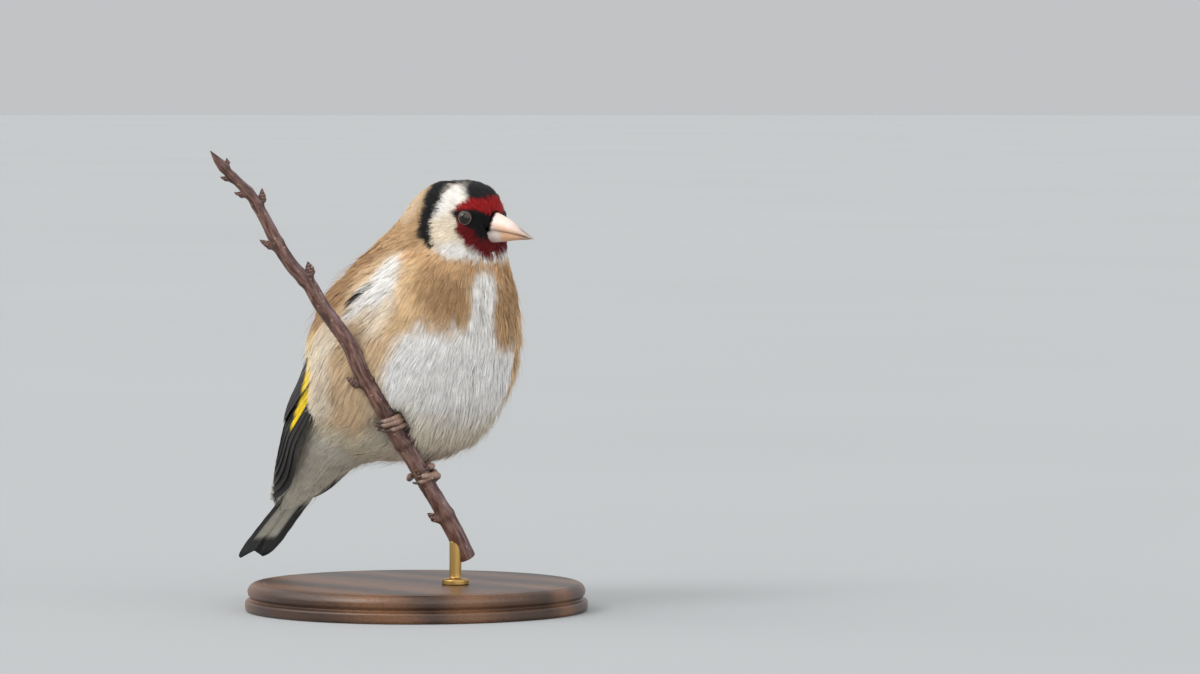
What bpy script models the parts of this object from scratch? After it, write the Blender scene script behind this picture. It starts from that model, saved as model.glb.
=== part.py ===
"""European goldfinch on a cut twig, life size, held up by a plain display stand.

Metres, +Z up. The bird's trunk heads along +X and its left side is +Y. The origin is on the
floor, under the centre of the stand's base. Lengths below are in millimetres and angles in
degrees, in the trunk's own frame, which lies above the base by TRUNK_PLACE.
"""

import math

import bmesh
import bpy
import numpy as np
from mathutils import Vector

MM = 0.001
PART_NAME = "european_goldfinch"
TRUNK_PLACE = (5.0, 0.0, 68.0)

# Neighbouring solids keep this gap, and no vane is thinner than this before its tip
GAP = 0.3
VANE_THICKNESS = 0.5
SHAFT_HEIGHT = 0.14
VANE_ROOT_DEPTH = 0.5
WELD = 0.0003

# Sections of the plumage from the crown to the end of the tail coverts: forward, up, pitch of
# the axis, reach to the front or belly, reach to the back, reach to each side, turn to the left
BODY_SECTIONS = (
    (10.6, 40.2, 90.0, 1.2, 1.2, 1.2, 11.0),
    (10.7, 39.6, 90.0, 4.8, 5.2, 4.6, 11.0),
    (11.0, 38.0, 90.0, 7.8, 8.8, 7.4, 11.0),
    (11.2, 35.0, 90.0, 9.9, 11.8, 9.2, 11.0),
    (11.2, 30.4, 89.0, 11.3, 14.2, 10.4, 11.0),
    (10.8, 26.0, 86.0, 11.4, 17.2, 12.2, 11.0),
    (9.6, 21.2, 79.0, 12.0, 20.4, 15.0, 9.0),
    (7.0, 15.6, 70.0, 15.4, 22.6, 18.6, 4.0),
    (3.4, 9.6, 62.0, 19.6, 24.0, 21.6, 0.0),
    (-1.0, 3.6, 56.0, 22.8, 24.6, 23.6, -3.0),
    (-5.5, -2.4, 52.0, 24.8, 24.4, 24.4, -3.0),
    (-10.0, -8.2, 50.0, 25.0, 22.8, 23.8, -2.0),
    (-14.8, -13.6, 48.0, 22.2, 20.8, 21.8, 0.0),
    (-20.4, -18.2, 44.0, 16.6, 18.2, 18.8, 0.0),
    (-27.4, -22.6, 40.0, 11.0, 13.8, 14.6, 0.0),
    (-35.2, -27.8, 41.0, 7.0, 8.6, 10.2, 0.0),
    (-43.0, -34.2, 42.0, 4.6, 4.2, 7.0, 0.0),
    (-50.0, -40.4, 42.0, 2.8, 1.8, 5.0, 0.0),
    (-54.0, -44.0, 42.0, 1.0, 0.7, 2.2, 0.0),
)
BODY_SIDES = 32
HEAD_CUT = 17.0
NECK_CUT = 23.6
TAIL_CUT = 80.0
HEAD_RINGS = 13
NECK_RINGS = 5
TORSO_RINGS = 22
TAIL_RINGS = 9

# The head's own frame: its centre, and how far it turns to the left
HEAD_CENTRE = (11.0, 0.0, 30.5)
HEAD_TURN = 11.0

# Bill: distance ahead of the head's centre, half width, top line, mouth line, bottom line
BILL_SECTIONS = (
    (8.2, 3.3, 2.7, -2.2, -5.7),
    (10.0, 3.2, 2.2, -2.4, -5.7),
    (12.0, 2.75, 1.4, -2.7, -5.6),
    (14.2, 2.15, 0.4, -3.0, -5.3),
    (16.5, 1.45, -1.0, -3.4, -4.95),
    (18.6, 0.85, -2.4, -3.8, -4.65),
    (20.1, 0.42, -3.5, -4.1, -4.5),
)
BILL_TIP = (21.1, -4.4)
LOWER_TIP = (20.4, -4.4)
MOUTH_HOLLOW = 0.12
NOSTRIL_PLACE = (10.7, 2.35, 0.3)
NOSTRIL_RADIUS = 0.56

# Eyes: centre in the head's frame, ball radius, and the ring of bare skin around it
EYE_CENTRE = (5.9, 6.9, 0.95)
EYE_RADIUS = 2.4
EYE_LOOK = (0.42, 0.9, 0.05)
LID_RADIUS = 1.75
LID_THICKNESS = 0.3

# Wing: how far along the body, the middle and half width around it, height over the plumage
WING_START = 25.0
WING_END = 105.0
WING_LAY = (
    (0.0, 106.0, 10.0, -0.9),
    (0.1, 108.0, 19.0, -0.6),
    (0.28, 115.0, 29.0, -0.3),
    (0.46, 122.0, 36.0, 0.6),
    (0.6, 126.0, 40.0, 2.6),
    (0.74, 127.0, 41.0, 4.4),
    (0.88, 118.0, 38.0, 4.2),
    (1.0, 106.0, 24.0, 2.8),
)
WING_CORE_END = 0.94

# Rows of wing feathers, from the flight feathers up to the small coverts: how many, then root,
# tip and height of the first and the last (along and across the wing), half width, tilt
WING_TIERS = (
    (6, ((0.42, -0.2), (0.42, -0.75)), ((0.88, 0.35), (1.0, -0.6)), ((-0.1, 0.1), (-0.3, -0.1)), 2.3, -5.7),
    (5, ((0.4, 0.35), (0.4, -0.3)), ((0.73, 0.62), (0.84, 0.0)), ((0.5, 0.55), (0.25, 0.35)), 2.7, -8.2),
    (3, ((0.33, 0.8), (0.33, 0.5)), ((0.56, 0.85), (0.68, 0.72)), ((0.62, 0.95), (0.5, 0.75)), 3.0, -7.8),
    (7, ((0.21, 0.8), (0.21, -0.7)), ((0.45, 0.82), (0.47, -0.7)), ((0.1, 1.05), (0.1, 0.7)), 2.7, -8.9),
    (5, ((0.1, 0.65), (0.1, -0.55)), ((0.28, 0.7), (0.28, -0.65)), ((0.2, 1.0), (0.2, 1.0)), 3.1, -10.7),
)

# The room left for a wing: its reach past the edges, and its depth under the wing's lowest part
BED_REACH = (-1.07, 1.1)
BED_DEPTH = 1.8
BED_RISE = 0.4
BED_TOP = 7.0

# Tail feathers of one side: roots and tips of the innermost, and the step to each next one
TAIL_PAIRS = 6
TAIL_ROOT = (-34.0, 0.5, -26.6)
TAIL_ROOT_STEP = (0.0, 0.35, -0.24)
TAIL_TIP = (-64.6, 0.75, -54.3)
TAIL_TIP_STEP = (-0.4, 0.92, -0.62)
TAIL_SAG = 0.6
TAIL_HALF_WIDTH = 3.3
TAIL_NARROWING = 0.1

# Twig: place across and down in the photograph's plane, and radius, from its tip to the cut
TWIG_LINE = (
    (-53.4, 46.6, 0.8),
    (-49.6, 42.0, 1.15),
    (-44.0, 36.3, 1.3),
    (-41.0, 31.3, 1.4),
    (-37.8, 25.0, 1.6),
    (-34.0, 18.8, 1.7),
    (-29.6, 14.0, 1.8),
    (-26.6, 8.8, 1.9),
    (-23.0, 3.8, 1.9),
    (-19.6, -1.3, 1.95),
    (-17.0, -7.5, 2.0),
    (-14.1, -12.5, 2.0),
    (-11.1, -18.0, 2.05),
    (-8.8, -22.5, 2.1),
    (-5.5, -27.5, 2.1),
    (-2.5, -32.5, 2.1),
    (-0.5, -36.3, 2.1),
    (2.5, -41.3, 2.15),
    (5.9, -47.5, 2.2),
    (9.2, -54.5, 2.25),
)
TWIG_SIDES = 14
PERCH_EASE = 0.1
VIEW_TURN = 45.0
VIEW_TILT = 2.5
VIEW_DISTANCE = 1667.0
TWIG_DEPTH = 8.0
TWIG_DEPTH_LEVEL = -35.5
TWIG_DEPTH_RISE = 0.32

# Buds and knobs: place across and down, side it leans to, length, radius
TWIG_BUDS = (
    (-50.0, 39.6, -1.0, 2.4, 0.95),
    (-46.0, 38.4, 1.0, 2.8, 1.15),
    (-41.8, 34.6, 1.0, 2.6, 1.0),
    (-40.6, 24.8, -1.0, 2.6, 1.0),
    (-30.2, 16.2, 1.0, 3.0, 1.35),
    (-20.6, -9.0, -1.0, 3.0, 1.3),
    (-4.6, -27.6, 1.0, 2.2, 1.45),
)

# Feet: where on the twig, the heel that each leg comes from, and the toes: place along the
# twig, sweep around it, slide along it, radius
RIGHT_FOOT_LEVEL = -21.6
LEFT_FOOT_LEVEL = -35.0
RIGHT_HEEL = (-9.0, -9.0, -12.5)
LEFT_HEEL = (-4.0, 3.0, -25.0)
TOES = (
    (0.6, -205.0, 2.5, 0.68),
    (0.0, -235.0, -0.1, 0.74),
    (-0.6, -200.0, -2.7, 0.66),
    (0.1, 150.0, 1.3, 0.76),
)
TOE_LIFT = 0.35
LEG_RADIUS = 0.85
PAD_LIFT = 1.6
PAD_RADIUS = 1.15

BASE_RADIUS = 43.0
BASE_HEIGHT = 7.0
BASE_BEVEL = 1.2
ROD_RADIUS = 1.5
ROD_LEVEL = -48.5


def smooth_between(stations, values, at):
    """Values at places between stations, on a curve that never swings past its given values."""
    stations, values = np.asarray(stations, float), np.asarray(values, float)
    at = np.clip(np.asarray(at, float), stations[0], stations[-1])
    steps = np.diff(stations)
    rises = np.diff(values) / steps
    slopes = np.zeros(len(values))
    slopes[0], slopes[-1] = rises[0], rises[-1]
    for i in range(1, len(values) - 1):
        if rises[i - 1] * rises[i] > 0:
            near, far = 2 * steps[i] + steps[i - 1], steps[i] + 2 * steps[i - 1]
            slopes[i] = (near + far) / (near / rises[i - 1] + far / rises[i])
    index = np.clip(np.searchsorted(stations, at, side="right") - 1, 0, len(steps) - 1)
    h = steps[index]
    t = (at - stations[index]) / h
    near_part = (2 * t**3 - 3 * t**2 + 1) * values[index] + (t**3 - 2 * t**2 + t) * h * slopes[index]
    far_part = (3 * t**2 - 2 * t**3) * values[index + 1] + (t**3 - t**2) * h * slopes[index + 1]
    return near_part + far_part


SECTION_TABLE = np.array(BODY_SECTIONS)
SECTION_STEPS = np.hypot(np.diff(SECTION_TABLE[:, 0]), np.diff(SECTION_TABLE[:, 1]))
SECTION_STATIONS = np.concatenate([[0.0], np.cumsum(SECTION_STEPS)])
BODY_LENGTH = SECTION_STATIONS[-1]


def body_point(station, angle):
    """Points on the plumage: station runs from the crown, angle is 0 at the throat and belly,
    90 degrees at the left side and 180 along the back."""
    station, angle = np.broadcast_arrays(np.asarray(station, float), np.asarray(angle, float))
    columns = [smooth_between(SECTION_STATIONS, SECTION_TABLE[:, i], station) for i in range(7)]
    forward, up, pitch, belly, back, side, turn = columns
    pitch, turn, angle = np.radians(pitch), np.radians(turn), np.radians(angle)
    reach = np.where(np.cos(angle) > 0, belly, back) * np.cos(angle)
    across = side * np.sin(angle)
    ahead = reach * np.sin(pitch)
    x = forward + ahead * np.cos(turn) - across * np.sin(turn)
    y = ahead * np.sin(turn) + across * np.cos(turn)
    return np.stack([x, y, up - reach * np.cos(pitch)], axis=-1)


def body_normal(station, angle):
    """Outward directions of the plumage's outline."""
    along = body_point(np.add(station, 0.2), angle) - body_point(np.subtract(station, 0.2), angle)
    around = body_point(station, np.add(angle, 1.0)) - body_point(station, np.subtract(angle, 1.0))
    normal = np.cross(along, around)
    return normal / np.linalg.norm(normal, axis=-1, keepdims=True)


def section_normal(station):
    """The direction along the body at one section, square to its plane."""
    pitch = math.radians(float(smooth_between(SECTION_STATIONS, SECTION_TABLE[:, 2], station)))
    turn = math.radians(float(smooth_between(SECTION_STATIONS, SECTION_TABLE[:, 6], station)))
    return np.array([
        -math.cos(pitch) * math.cos(turn),
        -math.cos(pitch) * math.sin(turn),
        -math.sin(pitch),
    ])


def head_point(ahead, left, up):
    """A point of the head's own frame in the trunk's frame."""
    turn = math.radians(HEAD_TURN)
    x = HEAD_CENTRE[0] + ahead * math.cos(turn) - left * math.sin(turn)
    y = HEAD_CENTRE[1] + ahead * math.sin(turn) + left * math.cos(turn)
    return np.array([x, y, HEAD_CENTRE[2] + up])


def picture_point(across, up):
    """A point of the twig, from its place in the photograph's plane."""
    turn, tilt = math.radians(VIEW_TURN), math.radians(VIEW_TILT)
    depth = TWIG_DEPTH + TWIG_DEPTH_RISE * (up - TWIG_DEPTH_LEVEL)
    shrink = 1 - depth / VIEW_DISTANCE
    across = across * shrink
    up = up * shrink + depth * math.sin(tilt)
    x = across * math.cos(turn) + depth * math.sin(turn)
    y = across * math.sin(turn) - depth * math.cos(turn)
    return np.array([x, y, up])


def make_object(name, points, faces, collection):
    """A mesh object from points of the trunk's frame, with its faces turned outwards."""
    placed = (np.asarray(points, float) + TRUNK_PLACE) * MM
    mesh = bpy.data.meshes.new(name)
    mesh.from_pydata([tuple(p) for p in placed], [], [tuple(f) for f in faces])
    bm = bmesh.new()
    bm.from_mesh(mesh)
    bmesh.ops.triangulate(bm, faces=[f for f in bm.faces if len(f.verts) > 4])
    bmesh.ops.recalc_face_normals(bm, faces=bm.faces)
    bm.to_mesh(mesh)
    bm.free()
    obj = bpy.data.objects.new(name, mesh)
    collection.objects.link(obj)
    return obj


def loft(name, rings, collection):
    """A closed solid through rings of points."""
    sides = len(rings[0])
    faces = [tuple(range(sides)), tuple(range((len(rings) - 1) * sides, len(rings) * sides))]
    for r in range(len(rings) - 1):
        for s in range(sides):
            near, far = r * sides + s, r * sides + (s + 1) % sides
            faces.append((near, far, far + sides, near + sides))
    return make_object(name, np.concatenate(rings), faces, collection)


def tube(name, path, radii, sides, collection):
    """A round bar along a path, with a radius for each of its points."""
    path = np.asarray(path, float)
    tangents = np.gradient(path, axis=0)
    tangents /= np.linalg.norm(tangents, axis=1, keepdims=True)
    side = np.cross(tangents[0], [0.31, 0.85, 0.42])
    rings = []
    for point, tangent, radius in zip(path, tangents, radii):
        side = side - tangent * side.dot(tangent)
        side /= np.linalg.norm(side)
        other = np.cross(tangent, side)
        turns = np.linspace(0, 2 * math.pi, sides, endpoint=False)[:, None]
        rings.append(point + radius * (np.cos(turns) * side + np.sin(turns) * other))
    return loft(name, rings, collection)


def ball(name, centre, radius, collection, segments, rings):
    """A round solid about a point of the trunk's frame."""
    mesh = bpy.data.meshes.new(name)
    bm = bmesh.new()
    bmesh.ops.create_uvsphere(bm, u_segments=segments, v_segments=rings, radius=radius * MM)
    place = (np.asarray(centre, float) + TRUNK_PLACE) * MM
    bmesh.ops.translate(bm, vec=Vector(place), verts=bm.verts)
    bm.to_mesh(mesh)
    bm.free()
    obj = bpy.data.objects.new(name, mesh)
    collection.objects.link(obj)
    return obj


def keep_largest_piece(obj):
    """Remove all but the largest connected surface of a mesh."""
    bm = bmesh.new()
    bm.from_mesh(obj.data)
    bmesh.ops.remove_doubles(bm, verts=bm.verts, dist=WELD * MM)
    bmesh.ops.dissolve_degenerate(bm, edges=bm.edges, dist=WELD * MM)
    unseen = set(bm.faces)
    pieces = []
    while unseen:
        start = unseen.pop()
        piece, front = [start], [start]
        while front:
            for edge in front.pop().edges:
                for face in edge.link_faces:
                    if face in unseen:
                        unseen.remove(face)
                        piece.append(face)
                        front.append(face)
        pieces.append(piece)
    pieces.sort(key=len)
    strays = [face for piece in pieces[:-1] for face in piece]
    bmesh.ops.delete(bm, geom=strays, context="FACES")
    bm.to_mesh(obj.data)
    bm.free()


def combine(obj, others, operation, solver="EXACT"):
    """Join or cut an object with several others in one step, and remove those used up."""
    group = bpy.data.collections.new("operands")
    bpy.context.scene.collection.children.link(group)
    for other in others:
        group.objects.link(other)
    modifier = obj.modifiers.new("combine", "BOOLEAN")
    modifier.operation = operation
    modifier.solver = solver
    modifier.operand_type = "COLLECTION"
    modifier.collection = group
    graph = bpy.context.evaluated_depsgraph_get()
    mesh = bpy.data.meshes.new_from_object(obj.evaluated_get(graph))
    obj.modifiers.clear()
    obj.data = mesh
    for other in others:
        if not other.hide_render:
            bpy.data.objects.remove(other)
    bpy.data.collections.remove(group)
    keep_largest_piece(obj)


def as_cutter(obj):
    """Mark an object as a cutter, which is kept but never rendered."""
    obj.hide_render = True
    obj.display_type = "WIRE"
    return obj


def body_rings(first, last, count, trim_first, trim_last):
    """Sections of the body between two stations, drawn back by half a gap at a cut face."""
    angles = np.arange(BODY_SIDES) * 360.0 / BODY_SIDES
    rings = [body_point(s, angles) for s in np.linspace(first, last, count)]
    if trim_first:
        rings[0] = rings[0] + section_normal(first) * GAP / 2
    if trim_last:
        rings[-1] = rings[-1] - section_normal(last) * GAP / 2
    return rings


def wing_point(along, across, height, side):
    """A point over the wing's bed: along runs from shoulder to tip, across from the lower edge
    at -1 to the upper edge at 1, height is above the wing's own middle surface."""
    table = np.array(WING_LAY)
    middle, half, lift = (smooth_between(table[:, 0], table[:, i], along) for i in (1, 2, 3))
    station = WING_START + np.asarray(along, float) * (WING_END - WING_START)
    angle = (middle + np.asarray(across, float) * half) * side
    offset = (lift + np.asarray(height, float))[..., None]
    return body_point(station, angle) + body_normal(station, angle) * offset


def vane(name, path, across, up, half_widths, collection, root_depth=0.0):
    """A feather's blade along a path, with a raised shaft, deeper at the root than at the tip."""
    rings = []
    half_thick = VANE_THICKNESS / 2
    depths = half_thick + root_depth * np.clip(np.linspace(1.5, -1.5, len(path)), 0, 1)
    for point, side, top, half, depth in zip(path, across, up, half_widths, depths):
        rings.append(np.array([
            point - side * half - top * depth,
            point - side * half + top * half_thick,
            point + top * (half_thick + SHAFT_HEIGHT),
            point + side * half + top * half_thick,
            point + side * half - top * depth,
        ]))
    return loft(name, rings, collection)


def vane_widths(half, count):
    """Half widths along a blade: a narrow root, an even blade and a rounded tip."""
    t = np.linspace(0, 1, count)
    rise = 0.62 + 0.38 * np.sin(np.clip(t / 0.5, 0, 1) * math.pi / 2)
    tip = np.sqrt(np.clip(1 - np.clip((t - 0.8) / 0.2, 0, 1) ** 2, 0, 1))
    return half * rise * np.maximum(tip, 0.22)


def wing_vane(name, side, root, tip, heights, half, tilt, collection):
    """One feather of the wing, from root to tip as (along, across), tilted like a shingle."""
    t = np.array([0, 0.3, 0.6, 0.82, 0.94, 1.0])
    along = root[0] + (tip[0] - root[0]) * t
    across = root[1] + (tip[1] - root[1]) * t
    height = heights[0] + (heights[1] - heights[0]) * t
    path = wing_point(along, across, height, side)
    above = wing_point(along, across, height + 1.0, side) - path
    tangent = np.gradient(path, axis=0)
    tangent /= np.linalg.norm(tangent, axis=1, keepdims=True)
    wide = np.cross(above, tangent) * side
    wide /= np.linalg.norm(wide, axis=1, keepdims=True)
    top = np.cross(tangent, wide) * side
    lean = math.radians(tilt)
    across_dir = wide * math.cos(lean) + top * math.sin(lean)
    up_dir = top * math.cos(lean) - wide * math.sin(lean)
    widths = np.interp(t, np.linspace(0, 1, 41), vane_widths(half, 41))
    return vane(name, path, across_dir, up_dir, widths, collection, VANE_ROOT_DEPTH)


def wing_slab(name, side, ends, reach, low, high, collection, steps=10):
    """A closed slab over the wing's bed, between two heights at each place along it."""
    columns = 7
    shape = np.linspace(-1, 1, columns)
    edge = 1 - 0.75 * np.abs(shape) ** 4
    rings = []
    for a in np.linspace(ends[0], ends[1], steps):
        lower, upper = reach(a)
        across = lower + (upper - lower) * (shape + 1) / 2
        place = np.full(columns, a)
        low_line = wing_point(place, across, np.full(columns, low(a)), side)
        high_line = wing_point(place, across, high(a) * edge + low(a) * (1 - edge), side)
        rings.append(np.concatenate([low_line, high_line[::-1]]))
    return loft(name, rings, collection)


def wing_tier(side, count, roots, tips, heights, half, tilt, collection):
    """A row of vanes. Each of roots, tips and heights gives the first and the last feather's."""
    made = []
    for i in range(count):
        f = i / (count - 1)
        mix = [
            [a + (b - a) * f for a, b in zip(first, last)]
            for first, last in (roots, tips, heights)
        ]
        made.append(wing_vane("vane", side, mix[0], mix[1], mix[2], half, tilt, collection))
    return made


def wing(side, collection):
    """A folded wing: a core under tiers of vanes, from the flight feathers up to the coverts."""
    name = "wing_left" if side > 0 else "wing_right"
    core = wing_slab(
        name, side, (0.0, WING_CORE_END),
        lambda a: (-1.0 + 0.45 * max(a - 0.5, 0) / 0.44, 1.0 - 0.85 * max(a - 0.5, 0) / 0.44),
        lambda a: -1.1 + 0.9 * a,
        lambda a: 0.8 - 0.6 * a,
        collection,
    )
    vanes = []
    for count, roots, tips, heights, half, tilt in WING_TIERS:
        vanes += wing_tier(side, count, roots, tips, heights, half, tilt, collection)
    combine(core, vanes, "UNION", "MANIFOLD")
    return core


def wing_bed(side, collection):
    """The room that the body leaves for a wing, with the gap around it."""
    bed = wing_slab(
        "bed_left" if side > 0 else "bed_right", side, (-0.012, 1.02),
        lambda a: BED_REACH,
        lambda a: BED_RISE * min(max(a, 0), 0.5) - BED_DEPTH,
        lambda a: BED_TOP,
        collection, steps=18,
    )
    return as_cutter(bed)


def tail(collection):
    """Tail coverts with twelve tail feathers, the middle pair on top and shortest."""
    rings = body_rings(TAIL_CUT, BODY_LENGTH, TAIL_RINGS, True, False)
    coverts = loft("tail", rings, collection)
    vanes = []
    for side in (1, -1):
        for i in range(TAIL_PAIRS):
            vanes.append(tail_vane(side, i, collection))
    combine(coverts, vanes, "UNION", "MANIFOLD")
    return coverts


def tail_vane(side, i, collection):
    """One tail feather, counted from the middle of the tail outwards."""
    mirror = np.array([1.0, side, 1.0])
    root = (np.array(TAIL_ROOT) + i * np.array(TAIL_ROOT_STEP)) * mirror
    tip = (np.array(TAIL_TIP) + i * np.array(TAIL_TIP_STEP)) * mirror
    t = np.array([0, 0.35, 0.65, 0.84, 0.95, 1.0])
    lift = np.array([0, 0, TAIL_SAG])
    path = root + np.outer(t, tip - root) + np.outer(np.sin(t * math.pi), lift)
    tangent = np.gradient(path, axis=0)
    tangent /= np.linalg.norm(tangent, axis=1, keepdims=True)
    lean = math.radians(-side * (3.0 + 1.0 * i))
    wide = np.array([0.0, math.cos(lean), math.sin(lean)])
    wide = wide - tangent * (tangent @ wide)[:, None]
    wide /= np.linalg.norm(wide, axis=1, keepdims=True)
    top = np.cross(wide, tangent)
    half = TAIL_HALF_WIDTH - TAIL_NARROWING * i
    widths = np.interp(t, np.linspace(0, 1, 41), vane_widths(half, 41))
    return vane("vane", path, wide, top, widths, collection)


def head(collection):
    """The head with its eyelids, with room for the eyes and the bill."""
    rings = body_rings(0.0, HEAD_CUT, HEAD_RINGS, False, True)
    skull = loft("head", rings, collection)
    lids = []
    for side in (1, -1):
        centre = head_point(EYE_CENTRE[0], side * EYE_CENTRE[1], EYE_CENTRE[2])
        outward = eye_direction(side)
        ring_centre = centre + outward * math.sqrt(EYE_RADIUS**2 - LID_RADIUS**2)
        turns = np.linspace(0, 2 * math.pi, 20, endpoint=False)
        first = np.cross(outward, [0, 0, 1.0])
        first /= np.linalg.norm(first)
        second = np.cross(outward, first)
        lids.append(ring_solid("lid", ring_centre, first, second, outward, turns, collection))
    combine(skull, lids, "UNION")
    sockets = []
    for side in (1, -1):
        centre = head_point(EYE_CENTRE[0], side * EYE_CENTRE[1], EYE_CENTRE[2])
        sockets.append(as_cutter(ball("socket", centre, EYE_RADIUS + GAP, collection, 20, 12)))
    sockets.append(as_cutter(bill_cutter(collection)))
    combine(skull, sockets, "DIFFERENCE")
    return skull, sockets


def ring_solid(name, centre, first, second, outward, turns, collection):
    """A round ring, for the rim of an eyelid."""
    sides = 6
    points, faces = [], []
    for turn in turns:
        radial = first * math.cos(turn) + second * math.sin(turn)
        for s in range(sides):
            a = 2 * math.pi * s / sides
            swing = (LID_RADIUS + GAP / 2 + LID_THICKNESS * math.cos(a)) * radial
            points.append(centre + swing + outward * LID_THICKNESS * math.sin(a))
    count = len(turns)
    for r in range(count):
        for s in range(sides):
            near, far = r * sides + s, r * sides + (s + 1) % sides
            after = ((r + 1) % count) * sides
            faces.append((near, far, after + (s + 1) % sides, after + s))
    return make_object(name, points, faces, collection)


def eye_direction(side):
    """Which way an eye looks, square to the side of the head."""
    turn = math.radians(HEAD_TURN)
    ahead, left = EYE_LOOK[0], EYE_LOOK[1] * side
    direction = np.array([
        ahead * math.cos(turn) - left * math.sin(turn),
        ahead * math.sin(turn) + left * math.cos(turn),
        EYE_LOOK[2],
    ])
    return direction / np.linalg.norm(direction)


def bill_ring(ahead, half, top, bottom, grow=0.0, flat_top=False, flat_bottom=False):
    """One cross section of the bill, square to its length."""
    count = 16
    middle = bottom if flat_bottom else top if flat_top else (top + bottom) / 2
    points = []
    for i in range(count):
        turn = 2 * math.pi * i / count
        across = (half + grow) * math.sin(turn)
        lift = math.cos(turn)
        if (flat_bottom and lift < 0) or (flat_top and lift > 0):
            height = -MOUTH_HOLLOW * abs(lift) * half
        elif lift > 0:
            height = (top + grow - middle) * lift
        else:
            height = (middle - bottom + grow) * lift
        points.append(head_point(ahead, across, middle + height))
    return np.array(points)


def bill(upper, collection):
    """One half of the bill, closed at the mouth line."""
    rings = []
    for ahead, half, top, mouth, bottom in BILL_SECTIONS:
        if upper:
            rings.append(bill_ring(ahead, half, top, mouth + GAP / 2, flat_bottom=True))
        else:
            rings.append(bill_ring(ahead, half * 0.9, mouth - GAP / 2, bottom, flat_top=True))
    tip = BILL_TIP if upper else LOWER_TIP
    end = head_point(tip[0], 0.0, tip[1])
    rings.append(end + (rings[-1] - rings[-1].mean(axis=0)) * 0.2)
    return loft("bill_upper" if upper else "bill_lower", rings, collection)


def bill_cutter(collection):
    """The room in the head for the root of the bill."""
    rings = []
    for ahead, half, top, mouth, bottom in BILL_SECTIONS[:5]:
        rings.append(bill_ring(ahead, half, top, bottom, grow=GAP))
    shift = head_point(-GAP, 0, 0) - head_point(0, 0, 0)
    rings[0] = rings[0] + shift
    return loft("bill_room", rings, collection)


def twig_at(level):
    """The twig's middle, its direction upwards and its radius at one picture level."""
    table = np.array(TWIG_LINE)[::-1]
    across, beyond = smooth_between(table[:, 1], table[:, 0], [level, level + 1.0])
    radius = float(smooth_between(table[:, 1], table[:, 2], level))
    centre = picture_point(across, level)
    direction = picture_point(beyond, level + 1.0) - centre
    return centre, direction / np.linalg.norm(direction), radius


def perch(collection):
    """The cut twig with its buds."""
    path = np.array([picture_point(a, u) for a, u, _ in TWIG_LINE])
    radii = [r for _, _, r in TWIG_LINE]
    tip = path[0] + (path[0] - path[1]) * 0.12
    path = np.concatenate([[tip], path])
    body = tube("perch", path, [0.3] + radii, TWIG_SIDES, collection)
    buds = []
    for across, up, lean, length, radius in TWIG_BUDS:
        centre, direction, thick = twig_at(up)
        turn = math.radians(VIEW_TURN)
        sideways = np.array([math.cos(turn), math.sin(turn), 0.0]) * lean
        sideways = sideways - direction * sideways.dot(direction)
        sideways /= np.linalg.norm(sideways)
        grow = direction * 0.62 + sideways * 0.78
        start = centre + sideways * (thick - radius * 0.7)
        steps = np.array([-0.2, 0.1, 0.4, 0.7, 0.92, 1.0])
        sizes = np.array([0.7, 1.0, 1.0, 0.7, 0.35, 0.12]) * radius
        bud_path = [start + grow * length * s for s in steps]
        buds.append(tube("bud", bud_path, sizes, 10, collection))
    combine(body, buds, "UNION")
    return body


def perch_room(collection):
    """The room that the plumage leaves where the twig presses against it."""
    rows = TWIG_LINE[6:-1]
    path = [picture_point(a, u) for a, u, _ in rows]
    radii = [r + GAP + PERCH_EASE for _, _, r in rows]
    return as_cutter(tube("perch_room", path, radii, 16, collection))


def foot_frame(level, heel):
    """Where a foot sits on the twig: middle, axis, way to the heel, way around, radius."""
    centre, axis, radius = twig_at(level)
    out = np.asarray(heel, float) - centre
    out = out - axis * out.dot(axis)
    out /= np.linalg.norm(out)
    return centre, axis, out, np.cross(axis, out), radius


def toe(frame, start, sweep, slide, thick, collection):
    """A toe wrapped around the twig, with its claw, as one tapering bar."""
    centre, axis, out, around, radius = frame
    path, radii = [], []
    for t in np.linspace(0, 1, 13):
        angle = math.radians(sweep * t)
        claw = max(0.0, (t - 0.74) / 0.26)
        joint = 0.1 * math.cos(t * math.pi * 8)
        reach = radius + TOE_LIFT + thick + joint * (1 - claw) - claw * (thick - 0.3) * 0.8
        slip = start + slide * min(1.0, t / 0.4)
        radial = out * math.cos(angle) + around * math.sin(angle)
        path.append(centre + radial * reach + axis * slip)
        radii.append(thick * (1 + joint) if claw == 0 else thick * (1 - 0.72 * claw))
    return tube("toe", path, radii, 7, collection)


def foot(side, level, heel, collection):
    """Three front toes and the hind toe on the twig, around a pad under the leg."""
    frame = foot_frame(level, heel)
    centre, _, out, _, radius = frame
    name = "foot_left" if side > 0 else "foot_right"
    pad = ball(name, centre + out * (radius + PAD_LIFT), PAD_RADIUS, collection, 14, 9)
    toes = [toe(frame, *row, collection) for row in TOES]
    combine(pad, toes, "UNION")
    return pad


def foot_room(level, heel, collection):
    """The trough in the belly's plumage that a foot and the twig lie in."""
    centre, axis, out, _, radius = foot_frame(level, heel)
    path = [centre + axis * step for step in (-4.6, -3.9, 0.0, 3.9, 4.6)]
    wide = radius + TOE_LIFT + 2 * max(row[3] for row in TOES) + GAP + 0.24
    reach = [wide * share for share in (0.55, 1.0, 1.0, 1.0, 0.55)]
    trough = tube("foot_room", path, reach, 16, collection)
    pad = ball("pad_room", centre + out * (radius + PAD_LIFT), PAD_RADIUS + GAP, collection, 16, 10)
    return [as_cutter(trough), as_cutter(pad)]


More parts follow.
